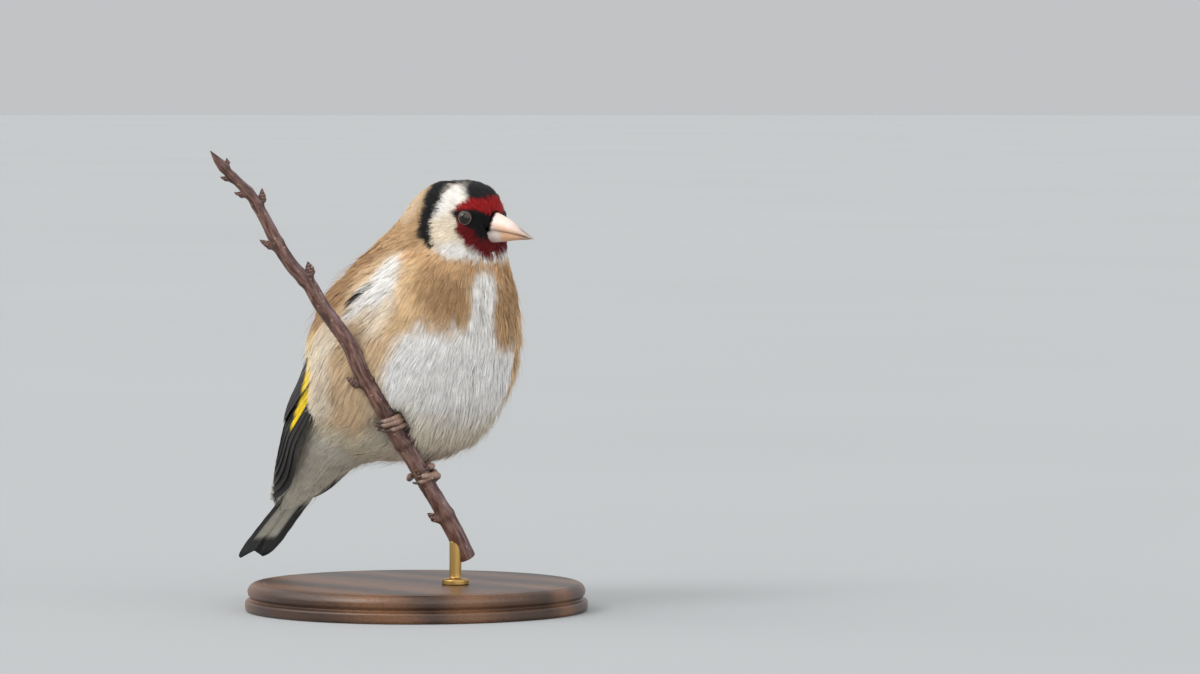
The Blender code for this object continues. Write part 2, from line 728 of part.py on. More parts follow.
def leg(side, level, heel, collection):
    """The lower leg, from inside the belly's plumage down to the foot."""
    centre, _, out, _, radius = foot_frame(level, heel)
    end = centre + out * (radius + PAD_LIFT)
    heel = np.asarray(heel, float)
    way = (end - heel) / np.linalg.norm(end - heel)
    stop = end - way * (PAD_RADIUS + GAP)
    steps = np.linspace(0, 1, 7)
    path = [heel + (stop - heel) * t for t in steps]
    radii = [LEG_RADIUS * (1.5 - 0.5 * min(t * 2.5, 1.0) + 0.2 * max(0, t - 0.8)) for t in steps]
    name = "leg_left" if side > 0 else "leg_right"
    room = list(path)
    room[0] = heel - way * GAP
    room[-1] = stop + way * 0.05
    made = tube(name, path, radii, 10, collection)
    cutter = tube(name + "_room", room, [r + GAP for r in radii], 10, collection)
    return made, as_cutter(cutter)


def stand(collection):
    """A round base and a short rod that carries the twig."""
    bm = bmesh.new()
    bmesh.ops.create_cone(
        bm, cap_ends=True, segments=56, depth=BASE_HEIGHT * MM,
        radius1=BASE_RADIUS * MM, radius2=BASE_RADIUS * MM,
    )
    bmesh.ops.translate(bm, vec=Vector((0, 0, BASE_HEIGHT * MM / 2)), verts=bm.verts)
    mesh = bpy.data.meshes.new("stand_base")
    bm.to_mesh(mesh)
    bm.free()
    base = bpy.data.objects.new("stand_base", mesh)
    collection.objects.link(base)
    bevel = base.modifiers.new("rounded edge", "BEVEL")
    bevel.width = BASE_BEVEL * MM
    bevel.segments = 2
    bevel.limit_method = "ANGLE"
    centre, axis, radius = twig_at(ROD_LEVEL)
    foot_level = BASE_HEIGHT + GAP - TRUNK_PLACE[2]
    bottom = np.array([centre[0], centre[1], foot_level])
    path = [bottom + (centre - bottom) * t for t in (0.0, 0.5, 1.0)]
    rod = tube("stand_rod", path, [ROD_RADIUS] * 3, 24, collection)
    low, high = twig_at(ROD_LEVEL - 5.5)[0], twig_at(ROD_LEVEL + 6.0)[0]
    path = [low + (high - low) * t for t in np.linspace(-0.4, 1, 5)]
    room = as_cutter(tube("rod_room", path, [radius + GAP + 0.3] * 5, 24, collection))
    combine(rod, [room], "DIFFERENCE")
    return base, rod, room


def material(name, colour, roughness, metallic=0.0):
    """A plain surface for one object."""
    made = bpy.data.materials.new(name)
    made.use_nodes = True
    shader = made.node_tree.nodes["Principled BSDF"]
    shader.inputs["Base Color"].default_value = (*colour, 1.0)
    shader.inputs["Roughness"].default_value = roughness
    shader.inputs["Metallic"].default_value = metallic
    return made


COLOURS = {
    "head": ((0.33, 0.05, 0.04), 0.85),
    "neck": ((0.5, 0.38, 0.26), 0.85),
    "torso": ((0.62, 0.5, 0.37), 0.85),
    "tail": ((0.05, 0.045, 0.04), 0.6),
    "wing_left": ((0.04, 0.036, 0.032), 0.55),
    "wing_right": ((0.04, 0.036, 0.032), 0.55),
    "leg_left": ((0.24, 0.14, 0.1), 0.5),
    "leg_right": ((0.24, 0.14, 0.1), 0.5),
    "foot_left": ((0.24, 0.14, 0.1), 0.5),
    "foot_right": ((0.24, 0.14, 0.1), 0.5),
    "eye_left": ((0.01, 0.008, 0.007), 0.08),
    "eye_right": ((0.01, 0.008, 0.007), 0.08),
    "bill_upper": ((0.75, 0.6, 0.5), 0.35),
    "bill_lower": ((0.75, 0.6, 0.5), 0.35),
    "perch": ((0.14, 0.09, 0.08), 0.8),
    "stand_base": ((0.3, 0.2, 0.12), 0.5),
    "stand_rod": ((0.6, 0.5, 0.3), 0.35),
}


def main():
    for obj in list(bpy.data.objects):
        bpy.data.objects.remove(obj)
    parts = bpy.data.collections.new(PART_NAME)
    cutters = bpy.data.collections.new("cutters")
    for collection in (parts, cutters):
        bpy.context.scene.collection.children.link(collection)

    skull, sockets = head(parts)
    neck = loft("neck", body_rings(HEAD_CUT, NECK_CUT, NECK_RINGS, True, True), parts)
    torso = loft("torso", body_rings(NECK_CUT, TAIL_CUT, TORSO_RINGS, True, True), parts)
    coverts = tail(parts)
    beds = [wing_bed(side, parts) for side in (1, -1)]
    left_leg, left_room = leg(1, LEFT_FOOT_LEVEL, LEFT_HEEL, parts)
    right_leg, right_room = leg(-1, RIGHT_FOOT_LEVEL, RIGHT_HEEL, parts)
    rooms = foot_room(LEFT_FOOT_LEVEL, LEFT_HEEL, parts)
    rooms += foot_room(RIGHT_FOOT_LEVEL, RIGHT_HEEL, parts)
    rooms.append(perch_room(parts))
    combine(torso, beds + rooms + [left_room, right_room], "DIFFERENCE")
    combine(coverts, beds, "DIFFERENCE")
    made = [skull, neck, torso, coverts, left_leg, right_leg]
    made += [wing(side, parts) for side in (1, -1)]
    for side in (1, -1):
        centre = head_point(EYE_CENTRE[0], side * EYE_CENTRE[1], EYE_CENTRE[2])
        name = "eye_left" if side > 0 else "eye_right"
        made.append(ball(name, centre, EYE_RADIUS, parts, 20, 12))
    upper, lower = bill(True, parts), bill(False, parts)
    nostrils = []
    for side in (1, -1):
        place = head_point(NOSTRIL_PLACE[0], side * NOSTRIL_PLACE[1], NOSTRIL_PLACE[2])
        nostrils.append(as_cutter(ball("nostril", place, NOSTRIL_RADIUS, parts, 12, 8)))
    combine(upper, nostrils, "DIFFERENCE")
    made += [upper, lower, perch(parts)]
    made.append(foot(1, LEFT_FOOT_LEVEL, LEFT_HEEL, parts))
    made.append(foot(-1, RIGHT_FOOT_LEVEL, RIGHT_HEEL, parts))
    base, rod, room = stand(parts)
    made += [base, rod]

    kept = beds + rooms + sockets + nostrils + [left_room, right_room, room]
    for cutter in kept:
        parts.objects.unlink(cutter)
        cutters.objects.link(cutter)
    for obj in made:
        colour, roughness = COLOURS[obj.name]
        obj.data.materials.clear()
        obj.data.materials.append(material(obj.name + "_surface", colour, roughness))
        for face in obj.data.polygons:
            face.material_index = 0
            face.use_smooth = obj.name != "stand_base"


main()
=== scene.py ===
"""Looks of a European goldfinch on a cut twig: a still, life-size model on a display stand.

Lengths are in millimetres in the trunk's own frame (+X ahead, +Y to the bird's left, +Z up) until
a mesh is made, and angles are in degrees. The trunk's frame lies at TRUNK_PLACE over the base.
"""

from __future__ import annotations

import logging
import math
from collections.abc import Callable
from dataclasses import dataclass
from enum import Enum

import bpy
import numpy as np
from bpy.types import ID, Material, Mesh, Node, NodeSocket, NodeTree, Object
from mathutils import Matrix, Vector, noise
from mathutils.kdtree import KDTree

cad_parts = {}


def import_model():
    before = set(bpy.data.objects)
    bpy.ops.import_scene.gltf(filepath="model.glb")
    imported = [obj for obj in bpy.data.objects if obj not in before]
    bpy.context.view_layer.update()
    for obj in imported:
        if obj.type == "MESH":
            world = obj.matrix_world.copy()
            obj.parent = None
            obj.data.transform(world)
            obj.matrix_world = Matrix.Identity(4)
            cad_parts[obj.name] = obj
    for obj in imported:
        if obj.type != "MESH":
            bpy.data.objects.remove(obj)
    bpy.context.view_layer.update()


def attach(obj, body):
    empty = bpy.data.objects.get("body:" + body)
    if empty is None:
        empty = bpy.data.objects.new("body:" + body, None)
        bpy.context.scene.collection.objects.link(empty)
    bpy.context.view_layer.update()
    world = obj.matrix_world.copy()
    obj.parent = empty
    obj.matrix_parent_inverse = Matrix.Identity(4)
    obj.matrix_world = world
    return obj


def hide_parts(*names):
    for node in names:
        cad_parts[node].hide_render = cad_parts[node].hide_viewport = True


log = logging.getLogger("goldfinch")

Array = np.ndarray
Paint = Callable[[Array, Array, bool], Array]
Triple = tuple[float, float, float]
Ends = tuple[tuple[float, float], tuple[float, float]]

MM = 0.001
SIDES = {1: "left", -1: "right"}
TRUNK_PLACE = np.array([5.0, 0.0, 68.0])
COLOUR_LAYER = "Plumage"
BAKE_MAP = "OFBake"
GRAIN_MAP = "Grain"

# Sections of the plumage from the crown to the end of the tail coverts: forward, up, pitch of
# the axis, reach to the front or belly, reach to the back, reach to each side, turn to the left
BODY_SECTIONS = (
    (10.6, 40.2, 90, 1.2, 1.2, 1.2, 11),
    (10.7, 39.6, 90, 4.8, 5.2, 4.6, 11),
    (11, 38, 90, 7.8, 8.8, 7.4, 11),
    (11.2, 35, 90, 9.9, 12.9, 9.2, 11),
    (11.2, 30.4, 89, 11.3, 16.6, 10.6, 11),
    (10.8, 26, 86, 11, 19.7, 12.6, 11),
    (9.6, 21.2, 79, 11.5, 21.8, 15.2, 9),
    (7, 15.6, 70, 15.4, 22.6, 18.6, 4),
    (3.4, 9.6, 62, 19.6, 24, 21.6, 0),
    (-1, 3.6, 56, 22.8, 24.6, 23.6, -3),
    (-5.5, -2.4, 52, 24.8, 24.4, 24.4, -3),
    (-10, -8.2, 50, 25, 22.8, 23.8, -2),
    (-14.8, -13.6, 48, 22.2, 20.8, 21.8, 0),
    (-20.4, -18.2, 44, 16.6, 18.2, 18.8, 0),
    (-27.4, -22.6, 40, 10.6, 13.8, 14.6, 0),
    (-35.2, -27.8, 41, 7, 8.6, 10.2, 0),
    (-43, -34.2, 42, 4.6, 4.2, 7, 0),
    (-50, -40.4, 42, 2.8, 1.8, 5, 0),
    (-54, -44, 42, 1, 0.7, 2.2, 0),
)

# The head's own frame, and what is set in it: eyes and bill
HEAD_CENTRE = (11, 0, 30.5)
HEAD_TURN = 11.0
EYE_CENTRE = (6.2, 6.85, 0.6)
EYE_LOOK = (0.55, 0.82, -0.12)
EYE_RADIUS = 2.1
EYE_SINK = 0.42
LID_RADIUS = 1.42
BILL_ROOT = (9.6, 0, -1.6)
# The bill: ahead, half width, top, mouth and bottom
BILL_SECTIONS = (
    (8.2, 3.2, 2.7, -2.2, -5.7), (10, 3.1, 2.2, -2.4, -5.7), (12, 2.7, 1.4, -2.7, -5.6),
    (14.4, 2.15, 0.3, -3, -5.35), (17, 1.45, -1.2, -3.5, -5.05), (19.3, 0.85, -2.8, -4, -4.9),
    (21, 0.4, -3.9, -4.35, -4.8),
)
UPPER_TIP = (22.1, -4.85)
LOWER_TIP = (21.2, -4.7)
MOUTH_GAP = 0.3

# Wing: where it lies along the body, and its middle, half width and height over the plumage
WING_START = 25.0
WING_END = 105.0
WING_LAY = (
    (0, 106, 10, -0.9), (0.1, 108, 19, -0.6), (0.28, 115, 29, -0.3),
    (0.46, 122, 36, 0.6), (0.6, 126, 40, 2.6), (0.74, 127, 41, 4.4),
    (0.88, 118, 38, 4.2), (1, 106, 24, 2.8),
)

# Twig: place across and up as the camera sees it, and radius, from its tip to the cut
TWIG_LINE = (
    (-53.4, 46.6, 0.35), (-52.2, 45, 0.95), (-51, 43.6, 1.2), (-49.6, 42, 1.1),
    (-44, 36.3, 1.3), (-41, 31.3, 1.4), (-37.8, 25, 1.6), (-34, 18.8, 1.7),
    (-29.6, 14, 1.8), (-26.6, 8.8, 1.9), (-23, 3.8, 1.9), (-19.6, -1.3, 1.95),
    (-17, -7.5, 2), (-14.1, -12.5, 2), (-11.1, -18, 2.05), (-8.8, -22.5, 2.1),
    (-5.5, -27.5, 2.1), (-2.5, -32.5, 2.1), (-0.5, -36.3, 2.1), (2.5, -41.3, 2.15),
    (5.9, -47.5, 2.2), (9.2, -54.5, 2.25),
)
# Buds: across, up, lean, length and radius
TWIG_BUDS = (
    (-51.6, 43.4, 1, 1.7, 0.75), (-49.6, 41.2, -1, 2.2, 0.8), (-46.6, 37.4, -1, 2.6, 1),
    (-43, 34.4, 1, 3.6, 1.25), (-40, 24.6, -1, 3.6, 1.15), (-31.6, 15.6, 1, 3.6, 1.5),
    (-20.2, -9.6, -1, 3.8, 1.5), (-5.6, -25.6, 1, 3.4, 2.1), (3.4, -43.4, -1, 3, 1.4),
)
VIEW_TURN = 45.0
VIEW_TILT = 2.5
VIEW_DISTANCE = 1667.0
TWIG_DEPTH = 8.0
TWIG_DEPTH_LEVEL = -35.5
TWIG_DEPTH_RISE = 0.32

# Feet: level on the twig, heel, and each toe's start, turn, slide and radius
RIGHT_FOOT_LEVEL = -21.6
LEFT_FOOT_LEVEL = -35.0
RIGHT_HEEL = (-9, -9, -12.5)
LEFT_HEEL = (-4, 3, -25)
PAD_LIFT = 1.6
RIGHT_TOES = (
    (0.6, -268, 2.6, 0.66), (-0.5, -276, 2.8, 0.74),
    (-1.8, -248, 2.2, 0.64), (0.1, 150, 1.3, 0.76),
)
LEFT_TOES = (
    (1, -150, 2.2, 0.7), (0.2, -246, 0.8, 0.66),
    (-2.6, -212, 5, 0.82), (1, 150, 1.2, 0.8),
)


# ---------------------------------------------------------------- small maths and mesh making


def linear(hex_colour: str) -> Array:
    """Turns an sRGB hex value such as "#A31D22" to linear light, three values from 0 to 1."""
    parts = np.array([int(hex_colour[i : i + 2], 16) for i in (1, 3, 5)]) / 255.0
    return np.where(parts <= 0.04045, parts / 12.92, ((parts + 0.055) / 1.055) ** 2.4)


def smoothstep(low: float, high: float, value: Array) -> Array:
    """Rises smoothly from 0 where the value is low to 1 where it is high."""
    t = np.clip((np.asarray(value, float) - low) / (high - low), 0.0, 1.0)
    return t * t * (3.0 - 2.0 * t)


def unit(vectors: Array) -> Array:
    """Brings vectors to length 1 along their last axis."""
    return vectors / np.maximum(np.linalg.norm(vectors, axis=-1, keepdims=True), 1e-9)


def circle(points: int) -> Array:
    """Even turns around a circle, in radians."""
    return np.linspace(0, 2 * math.pi, points, endpoint=False)


def polar(reach: Array, turn: Array) -> Array:
    """Flat places at a distance and a turn, in radians, from the middle."""
    return np.stack([reach * np.cos(turn), reach * np.sin(turn)], axis=-1)


def mix(first: Array, second: Array, share: Array) -> Array:
    """Goes from the first values to the second ones as the share goes from 0 to 1."""
    return first * (1 - share) + second * share


def resample(values: Array, at: Array) -> Array:
    """Reads evenly spaced rows at places from 0 at the first to 1 at the last."""
    even = np.linspace(0, 1, len(values))
    return np.array([np.interp(at, even, column) for column in values.T]).T


class Curve:
    """A curve through values at given stations that never swings past them."""

    def __init__(self, stations: Array, values: Array) -> None:
        """Works out the slope at each station.

        Args:
            stations: Rising places, one for each row of values.
            values: One row of values for each station.
        """
        self.stations = np.asarray(stations, float)
        self.values = np.asarray(values, float).reshape(len(self.stations), -1)
        self.steps = np.diff(self.stations)
        steps = self.steps[:, None]
        rises = np.diff(self.values, axis=0) / steps
        self.slopes = np.zeros_like(self.values)
        self.slopes[0], self.slopes[-1] = rises[0], rises[-1]
        near = 2 * steps[1:] + steps[:-1]
        far = steps[1:] + 2 * steps[:-1]
        with np.errstate(divide="ignore", invalid="ignore"):
            mean = (near + far) / (near / rises[:-1] + far / rises[1:])
        self.slopes[1:-1] = np.where(rises[:-1] * rises[1:] > 0, mean, 0.0)

    def __call__(self, at: Array) -> Array:
        """Reads the curve.

        Args:
            at: Places along it, of any shape.

        Returns:
            Values with one more axis, as long as a row of the table.
        """
        at = np.clip(np.asarray(at, float), self.stations[0], self.stations[-1])
        index = np.searchsorted(self.stations, at, side="right") - 1
        index = np.clip(index, 0, len(self.steps) - 1)
        h = self.steps[index][..., None]
        t = (at - self.stations[index])[..., None] / h
        near = (2 * t**3 - 3 * t**2 + 1) * self.values[index]
        near = near + (t**3 - 2 * t**2 + t) * h * self.slopes[index]
        far = (3 * t**2 - 2 * t**3) * self.values[index + 1]
        return near + far + (t**3 - t**2) * h * self.slopes[index + 1]


def place(points: Array) -> Array:
    """Turns millimetres in the trunk's frame to metres in the frame of the CAD."""
    return (np.asarray(points, float) + TRUNK_PLACE) * MM


def head_point(ahead: Array, left: Array, up: Array) -> Array:
    """Turns points of the head's own frame to the trunk's frame.

    Args:
        ahead: How far ahead they are.
        left: How far to the left.
        up: How far up.

    Returns:
        The points.
    """
    turn = math.radians(HEAD_TURN)
    x = HEAD_CENTRE[0] + ahead * math.cos(turn) - left * math.sin(turn)
    y = HEAD_CENTRE[1] + ahead * math.sin(turn) + left * math.cos(turn)
    return np.stack(np.broadcast_arrays(x, y, HEAD_CENTRE[2] + up), axis=-1)


def head_way(ahead: Array, left: Array, up: Array) -> Array:
    """Unit vectors of the head's own frame in the trunk's frame."""
    return unit(head_point(ahead, left, up) - head_point(0.0, 0.0, 0.0))


def to_head(points: Array) -> Array:
    """Turns points of the trunk's frame to the head's own frame.

    Args:
        points: The points.

    Returns:
        How far ahead, left and up they are.
    """
    turn = math.radians(HEAD_TURN)
    offset = np.asarray(points, float) - np.array(HEAD_CENTRE)
    ahead = offset[..., 0] * math.cos(turn) + offset[..., 1] * math.sin(turn)
    left = offset[..., 1] * math.cos(turn) - offset[..., 0] * math.sin(turn)
    return np.stack([ahead, left, offset[..., 2]], axis=-1)


def eye_place(side: int) -> tuple[Array, Array]:
    """Where an eye is and which way it looks.

    Args:
        side: 1 for the left eye, -1 for the right one.

    Returns:
        The ball's centre and the direction out of the head.
    """
    centre = head_point(EYE_CENTRE[0], side * EYE_CENTRE[1], EYE_CENTRE[2])
    out = head_way(EYE_LOOK[0], side * EYE_LOOK[1], EYE_LOOK[2])
    return centre + out * EYE_SINK, out


def link(name: str, data: ID) -> Object:
    """Adds a mesh, light or camera to the scene.

    Args:
        name: The object's name.
        data: The mesh, light or camera.

    Returns:
        The new object.
    """
    obj = bpy.data.objects.new(name, data)
    bpy.context.scene.collection.objects.link(obj)
    return obj


def paint_points(mesh: Mesh, colours: Array) -> None:
    """Gives a mesh one colour for each point.

    Args:
        mesh: The mesh.
        colours: Linear colours, one row each.
    """
    rgba = np.concatenate([colours, np.ones((len(colours), 1))], axis=1).astype(np.float32)
    layer = mesh.color_attributes.new(COLOUR_LAYER, "FLOAT_COLOR", "POINT")
    layer.data.foreach_set("color", rgba.ravel())


class MeshStore:
    """Points and four-sided faces of one piece, gathered before its mesh is made."""

    def __init__(self) -> None:
        """Starts with no points."""
        self.points: list[Array] = []
        self.faces: list[Array] = []
        self.colours: list[Array] = []
        self.bake: list[Array] = []
        self.grain: list[Array] = []
        self.normals: list[Array] = []
        self.count = 0

    def add(self, points: Array, faces: Array, colours: Array, bake: Array,
            grain: Array | None = None, normals: Array | None = None) -> None:
        """Adds one patch of faces.

        Args:
            points: Its points, in millimetres.
            faces: Four point numbers for each face, from 0.
            colours: A linear colour for each point.
            bake: A place on the bake map for each point.
            grain: A place along and across the barbs for each point, in millimetres.
            normals: The way that each point faces, where it isn't the faces' own.
        """
        self.points.append(points.reshape(-1, 3))
        self.faces.append(faces.reshape(-1, 4) + self.count)
        self.colours.append(colours.reshape(-1, 3))
        self.bake.append(bake.reshape(-1, 2))
        if grain is not None:
            self.grain.append(grain.reshape(-1, 2))
        if normals is not None:
            self.normals.append(normals.reshape(-1, 3))
        self.count += len(self.points[-1])

    def make(self, name: str, material: Material) -> Object:
        """Makes the mesh object and links it to the scene.

        Args:
            name: The piece's name.
            material: Its finish.

        Returns:
            The new object.
        """
        points = place(np.concatenate(self.points))
        faces = np.concatenate(self.faces).astype(np.int32)
        mesh = bpy.data.meshes.new(name)
        mesh.vertices.add(len(points))
        mesh.vertices.foreach_set("co", points.astype(np.float32).ravel())
        mesh.loops.add(faces.size)
        mesh.loops.foreach_set("vertex_index", faces.ravel())
        mesh.polygons.add(len(faces))
        mesh.polygons.foreach_set("loop_start", np.arange(0, faces.size, 4, dtype=np.int32))
        mesh.update(calc_edges=True)
        mesh.polygons.foreach_set("use_smooth", np.ones(len(faces), dtype=bool))
        paint_points(mesh, np.concatenate(self.colours))
        for label, parts in ((BAKE_MAP, self.bake), (GRAIN_MAP, self.grain)):
            if parts:
                spots = np.concatenate(parts)[faces.ravel()].astype(np.float32)
                mesh.uv_layers.new(name=label).data.foreach_set("uv", spots.ravel())
        mesh.materials.append(material)
        if self.normals:
            mesh.normals_split_custom_set_from_vertices(np.concatenate(self.normals))
        return link(name, mesh)


def grid_faces(rows: int, columns: int, closed: bool = False) -> Array:
    """Faces of a grid of points, row by row.

    Args:
        rows: How many rows of points.
        columns: How many points in a row.
        closed: Whether each row closes on itself.

    Returns:
        Four point numbers for each face.
    """
    reach = columns if closed else columns - 1
    row, column = np.meshgrid(np.arange(rows - 1), np.arange(reach), indexing="ij")
    near = row * columns + column
    after = row * columns + (column + 1) % columns
    return np.stack([near, after, after + columns, near + columns], axis=-1).reshape(-1, 4)


def loft(name: str, rings: Array, material: Material, colours: Array | None = None,
         flip: bool = False) -> Object:
    """Makes a closed solid through rings of points.

    Args:
        name: The piece's name.
        rings: Points by ring and place around it, in millimetres.
        material: Its finish.
        colours: A linear colour for each point, if the finish reads one.
        flip: Whether the faces are turned over.

    Returns:
        The new object.
    """
    count, sides = rings.shape[:2]
    faces = [tuple(f) for f in grid_faces(count, sides, closed=True)]
    first, last = count * sides, count * sides + 1
    for s in range(sides):
        after = (s + 1) % sides
        faces.append((first, after, s))
        faces.append((last, (count - 1) * sides + s, (count - 1) * sides + after))
    if flip:
        faces = [face[::-1] for face in faces]
    ends = np.stack([rings[0].mean(axis=0), rings[-1].mean(axis=0)])
    mesh = bpy.data.meshes.new(name)
    mesh.from_pydata(place(np.concatenate([rings.reshape(-1, 3), ends])).tolist(), [], faces)
    mesh.polygons.foreach_set("use_smooth", np.ones(len(faces), dtype=bool))
    if colours is not None:
        colours = colours.reshape(-1, 3)
        tips = np.stack([colours[:sides].mean(axis=0), colours[-sides:].mean(axis=0)])
        paint_points(mesh, np.concatenate([colours, tips]))
    mesh.update()
    mesh.materials.append(material)
    return link(name, mesh)


def tube_rings(path: Array, radii: Array, sides: int) -> Array:
    """Rings of a round bar along a path.

    Args:
        path: Points along its middle.
        radii: A radius for each point.
        sides: How many points around.

    Returns:
        Points by ring and place around it.
    """
    tangents = unit(np.gradient(path, axis=0))
    side = np.cross(tangents[0], [0.31, 0.85, 0.42])
    turns = circle(sides)[:, None]
    rings = []
    for point, tangent, radius in zip(path, tangents, radii):
        side = unit(side - tangent * side.dot(tangent))
        other = np.cross(tangent, side)
        rings.append(point + radius * (np.cos(turns) * side + np.sin(turns) * other))
    return np.array(rings)


def ball_rings(centre: Array, radius: float, out: Array, first: Array, second: Array,
               levels: Array, sides: int) -> Array:
    """Rings of a ball.

    Args:
        centre: Its middle.
        radius: Its radius.
        out: The way to its first pole.
        first: A way across it.
        second: The other way across it.
        levels: Turns from the first pole, one for each ring, in radians.
        sides: How many points around.

    Returns:
        Points by ring and place around it.
    """
    turns = circle(sides)
    radial = np.outer(np.cos(turns), first) + np.outer(np.sin(turns), second)
    return np.array([
        centre + radius * (math.cos(level) * out + math.sin(level) * radial) for level in levels
    ])


def join(name: str, pieces: list[Object]) -> Object:
    """Joins mesh objects to one piece.

    Args:
        name: The piece's name.
        pieces: Mesh objects of one finish.

    Returns:
        The piece.
    """
    with bpy.context.temp_override(
        active_object=pieces[0], object=pieces[0], selected_editable_objects=pieces
    ):
        bpy.ops.object.join()
    pieces[0].name = name
    pieces[0].data.name = name
    return pieces[0]


def settle(piece: Object, slot: str, *nodes: str) -> Object:
    """Fixes a piece to the model's one body and hides the CAD nodes that it replaces.

    Args:
        piece: The new piece.
        slot: A material slot of the record; not used.
        nodes: CAD nodes that it replaces.

    Returns:
        The piece.
    """
    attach(piece, "root")
    if nodes:
        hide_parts(*nodes)
    log.info("%s: %d faces", piece.name, len(piece.data.polygons))
    return piece


# ---------------------------------------------------------------- the body's form and markings


class BodyForm:
    """The outline of the plumage, as in the solids.

    Its stations are distances along the axis from the crown. Its angles are 0 at throat and
    belly, 90 at the left side and 180 along the back. Its chart is flat: a place lies as far
    from the middle as its station says, and is turned by its angle.
    """

    def __init__(self) -> None:
        """Reads the sections."""
        table = np.array(BODY_SECTIONS)
        steps = np.hypot(np.diff(table[:, 0]), np.diff(table[:, 1]))
        self.stations = np.concatenate([[0.0], np.cumsum(steps)])
        self.length = float(self.stations[-1])
        self.curve = Curve(self.stations, table)

    def point(self, station: Array, angle: Array) -> Array:
        """Points on the plumage.

        Args:
            station: Their stations.
            angle: Their angles.

        Returns:
            Points in millimetres.
        """
        station, angle = np.broadcast_arrays(np.asarray(station, float), np.asarray(angle, float))
        forward, up, pitch, belly, back, side, turn = np.moveaxis(self.curve(station), -1, 0)
        pitch, turn, angle = np.radians(pitch), np.radians(turn), np.radians(angle)
        reach = np.where(np.cos(angle) > 0, belly, back) * np.cos(angle)
        across = side * np.sin(angle)
        ahead = reach * np.sin(pitch)
        x = forward + ahead * np.cos(turn) - across * np.sin(turn)
        y = ahead * np.sin(turn) + across * np.cos(turn)
        return np.stack([x, y, up - reach * np.cos(pitch)], axis=-1)

    def normal(self, station: Array, angle: Array) -> Array:
        """Finds outward unit vectors of the plumage.

        Args:
            station: Stations.
            angle: Angles.

        Returns:
            The vectors.
        """
        station, angle = np.asarray(station, float), np.asarray(angle, float)
        along = self.point(station + 0.2, angle) - self.point(station - 0.2, angle)
        around = self.point(station, angle + 1.0) - self.point(station, angle - 1.0)
        return unit(np.cross(along, around))

    def read_chart(self, chart: Array) -> tuple[Array, Array]:
        """Turns places on the flat chart to stations and angles."""
        x, y = chart[..., 0], chart[..., 1]
        return np.hypot(x, y), np.degrees(np.arctan2(y, x))

    def chart_frame(self, chart: Array) -> tuple[Array, Array, Array, Array]:
        """The surface at places on the chart.

        Args:
            chart: Places on the chart.

        Returns:
            Points, outward normals, and the two ways that the chart's own axes run.
        """
        step = 0.06
        shifts = ([step, 0.0], [-step, 0.0], [0.0, step], [0.0, -step])
        right, left, over, under = (self.point(*self.read_chart(chart + shift)) for shift in shifts)
        first, second = (right - left) / (2 * step), (over - under) / (2 * step)
        return self.point(*self.read_chart(chart)), unit(np.cross(first, second)), first, second

    @staticmethod
    def chart_step(first: Array, second: Array, step: Array) -> Array:
        """How a step along the surface moves on the chart.

        Args:
            first: The way of the chart's first axis.
            second: The way of its second axis.
            step: The step, in millimetres.

        Returns:
            The move on the chart.
        """
        e, f, g = (first**2).sum(-1), (first * second).sum(-1), (second**2).sum(-1)
        a, b = (first * step).sum(-1), (second * step).sum(-1)
        spread = np.maximum(e * g - f * f, 1e-9)
        return np.stack([(g * a - f * b) / spread, (e * b - f * a) / spread], axis=-1)

    def bake_place(self, chart: Array) -> Array:
        """Lays places on the bake map, by an even unwrap about the crown.

        Args:
            chart: Places on the chart.

        Returns:
            Places on the map.
        """
        station, angle = self.read_chart(chart)
        reach = 0.485 * (np.clip(station, 0.0, self.length) / self.length) ** 0.6
        return 0.5 + polar(reach, np.radians(angle))


class Hue(Enum):
    """Colours of the living bird's plumage and bare parts, as sRGB hex values, with painted shade
    in the red of the lower face and in the lower belly's buff.
    """

    RED = "#A01D20"
    # Red of the chin and lower face, darker than RED as painted shade under the head; it also lies
    # under the red and the black, so that no white shows at their soft edges
    SHADED_RED = "#6C1518"
    BLACK = "#151517"
    CROWN = "#222225"
    WHITE = "#F8F5F0"
    CHEEK = "#EADDC8"
    NAPE = "#C6A37A"
    PALE_NAPE = "#DCC4A6"
    COLLAR = "#DBB285"
    BUFF = "#E6C69A"
    BREAST = "#C39E76"
    DEEP_BREAST = "#B39069"
    MANTLE = "#B08C67"
    FLANK = "#E0C49F"
    PALE_FLANK = "#F3E4CF"
    BELLY = "#FCFAF7"
    # Buff of the lower belly, also darker than the belly's white as painted shade on the underside
    LOW_BELLY_BUFF_AND_SHADE = "#E9DFCB"
    VENT = "#E9DEC5"
    UNDERTAIL = "#F4EEDF"
    RUMP = "#D2C8B4"
    WING = "#151312"
    WING_EDGE = "#6A5A49"
    YELLOW = "#F2CE00"
    YELLOW_EDGE = "#EBD199"
    TIP_WHITE = "#EDE6DA"
    TAIL_PALE = "#C8C2B3"
    BILL = "#E2CFC5"
    BILL_EDGE = "#D9AA84"
    BILL_PALE_BASE = "#DBCBC2"
    BILL_TIP = "#62534F"
    LID = "#665F59"
    FOOT = "#8C7164"
    CLAW = "#4A3931"
    IRIS = "#2A1A12"
    PUPIL = "#060405"

    def rgb(self) -> Array:
        """The colour in linear light."""
        return linear(self.value)


def blend_hues(shares: list[tuple[Array, Hue]], ground: Hue) -> Array:
    """Lays colours over a ground, one after the other.

    Args:
        shares: Shares from 0 to 1 with their colours.
        ground: The colour under them.

    Returns:
        Linear colours.
    """
    colour = np.broadcast_to(ground.rgb(), (*shares[0][0].shape, 3)).copy()
    for share, hue in shares:
        colour = mix(colour, hue.rgb(), share[..., None])
    return colour


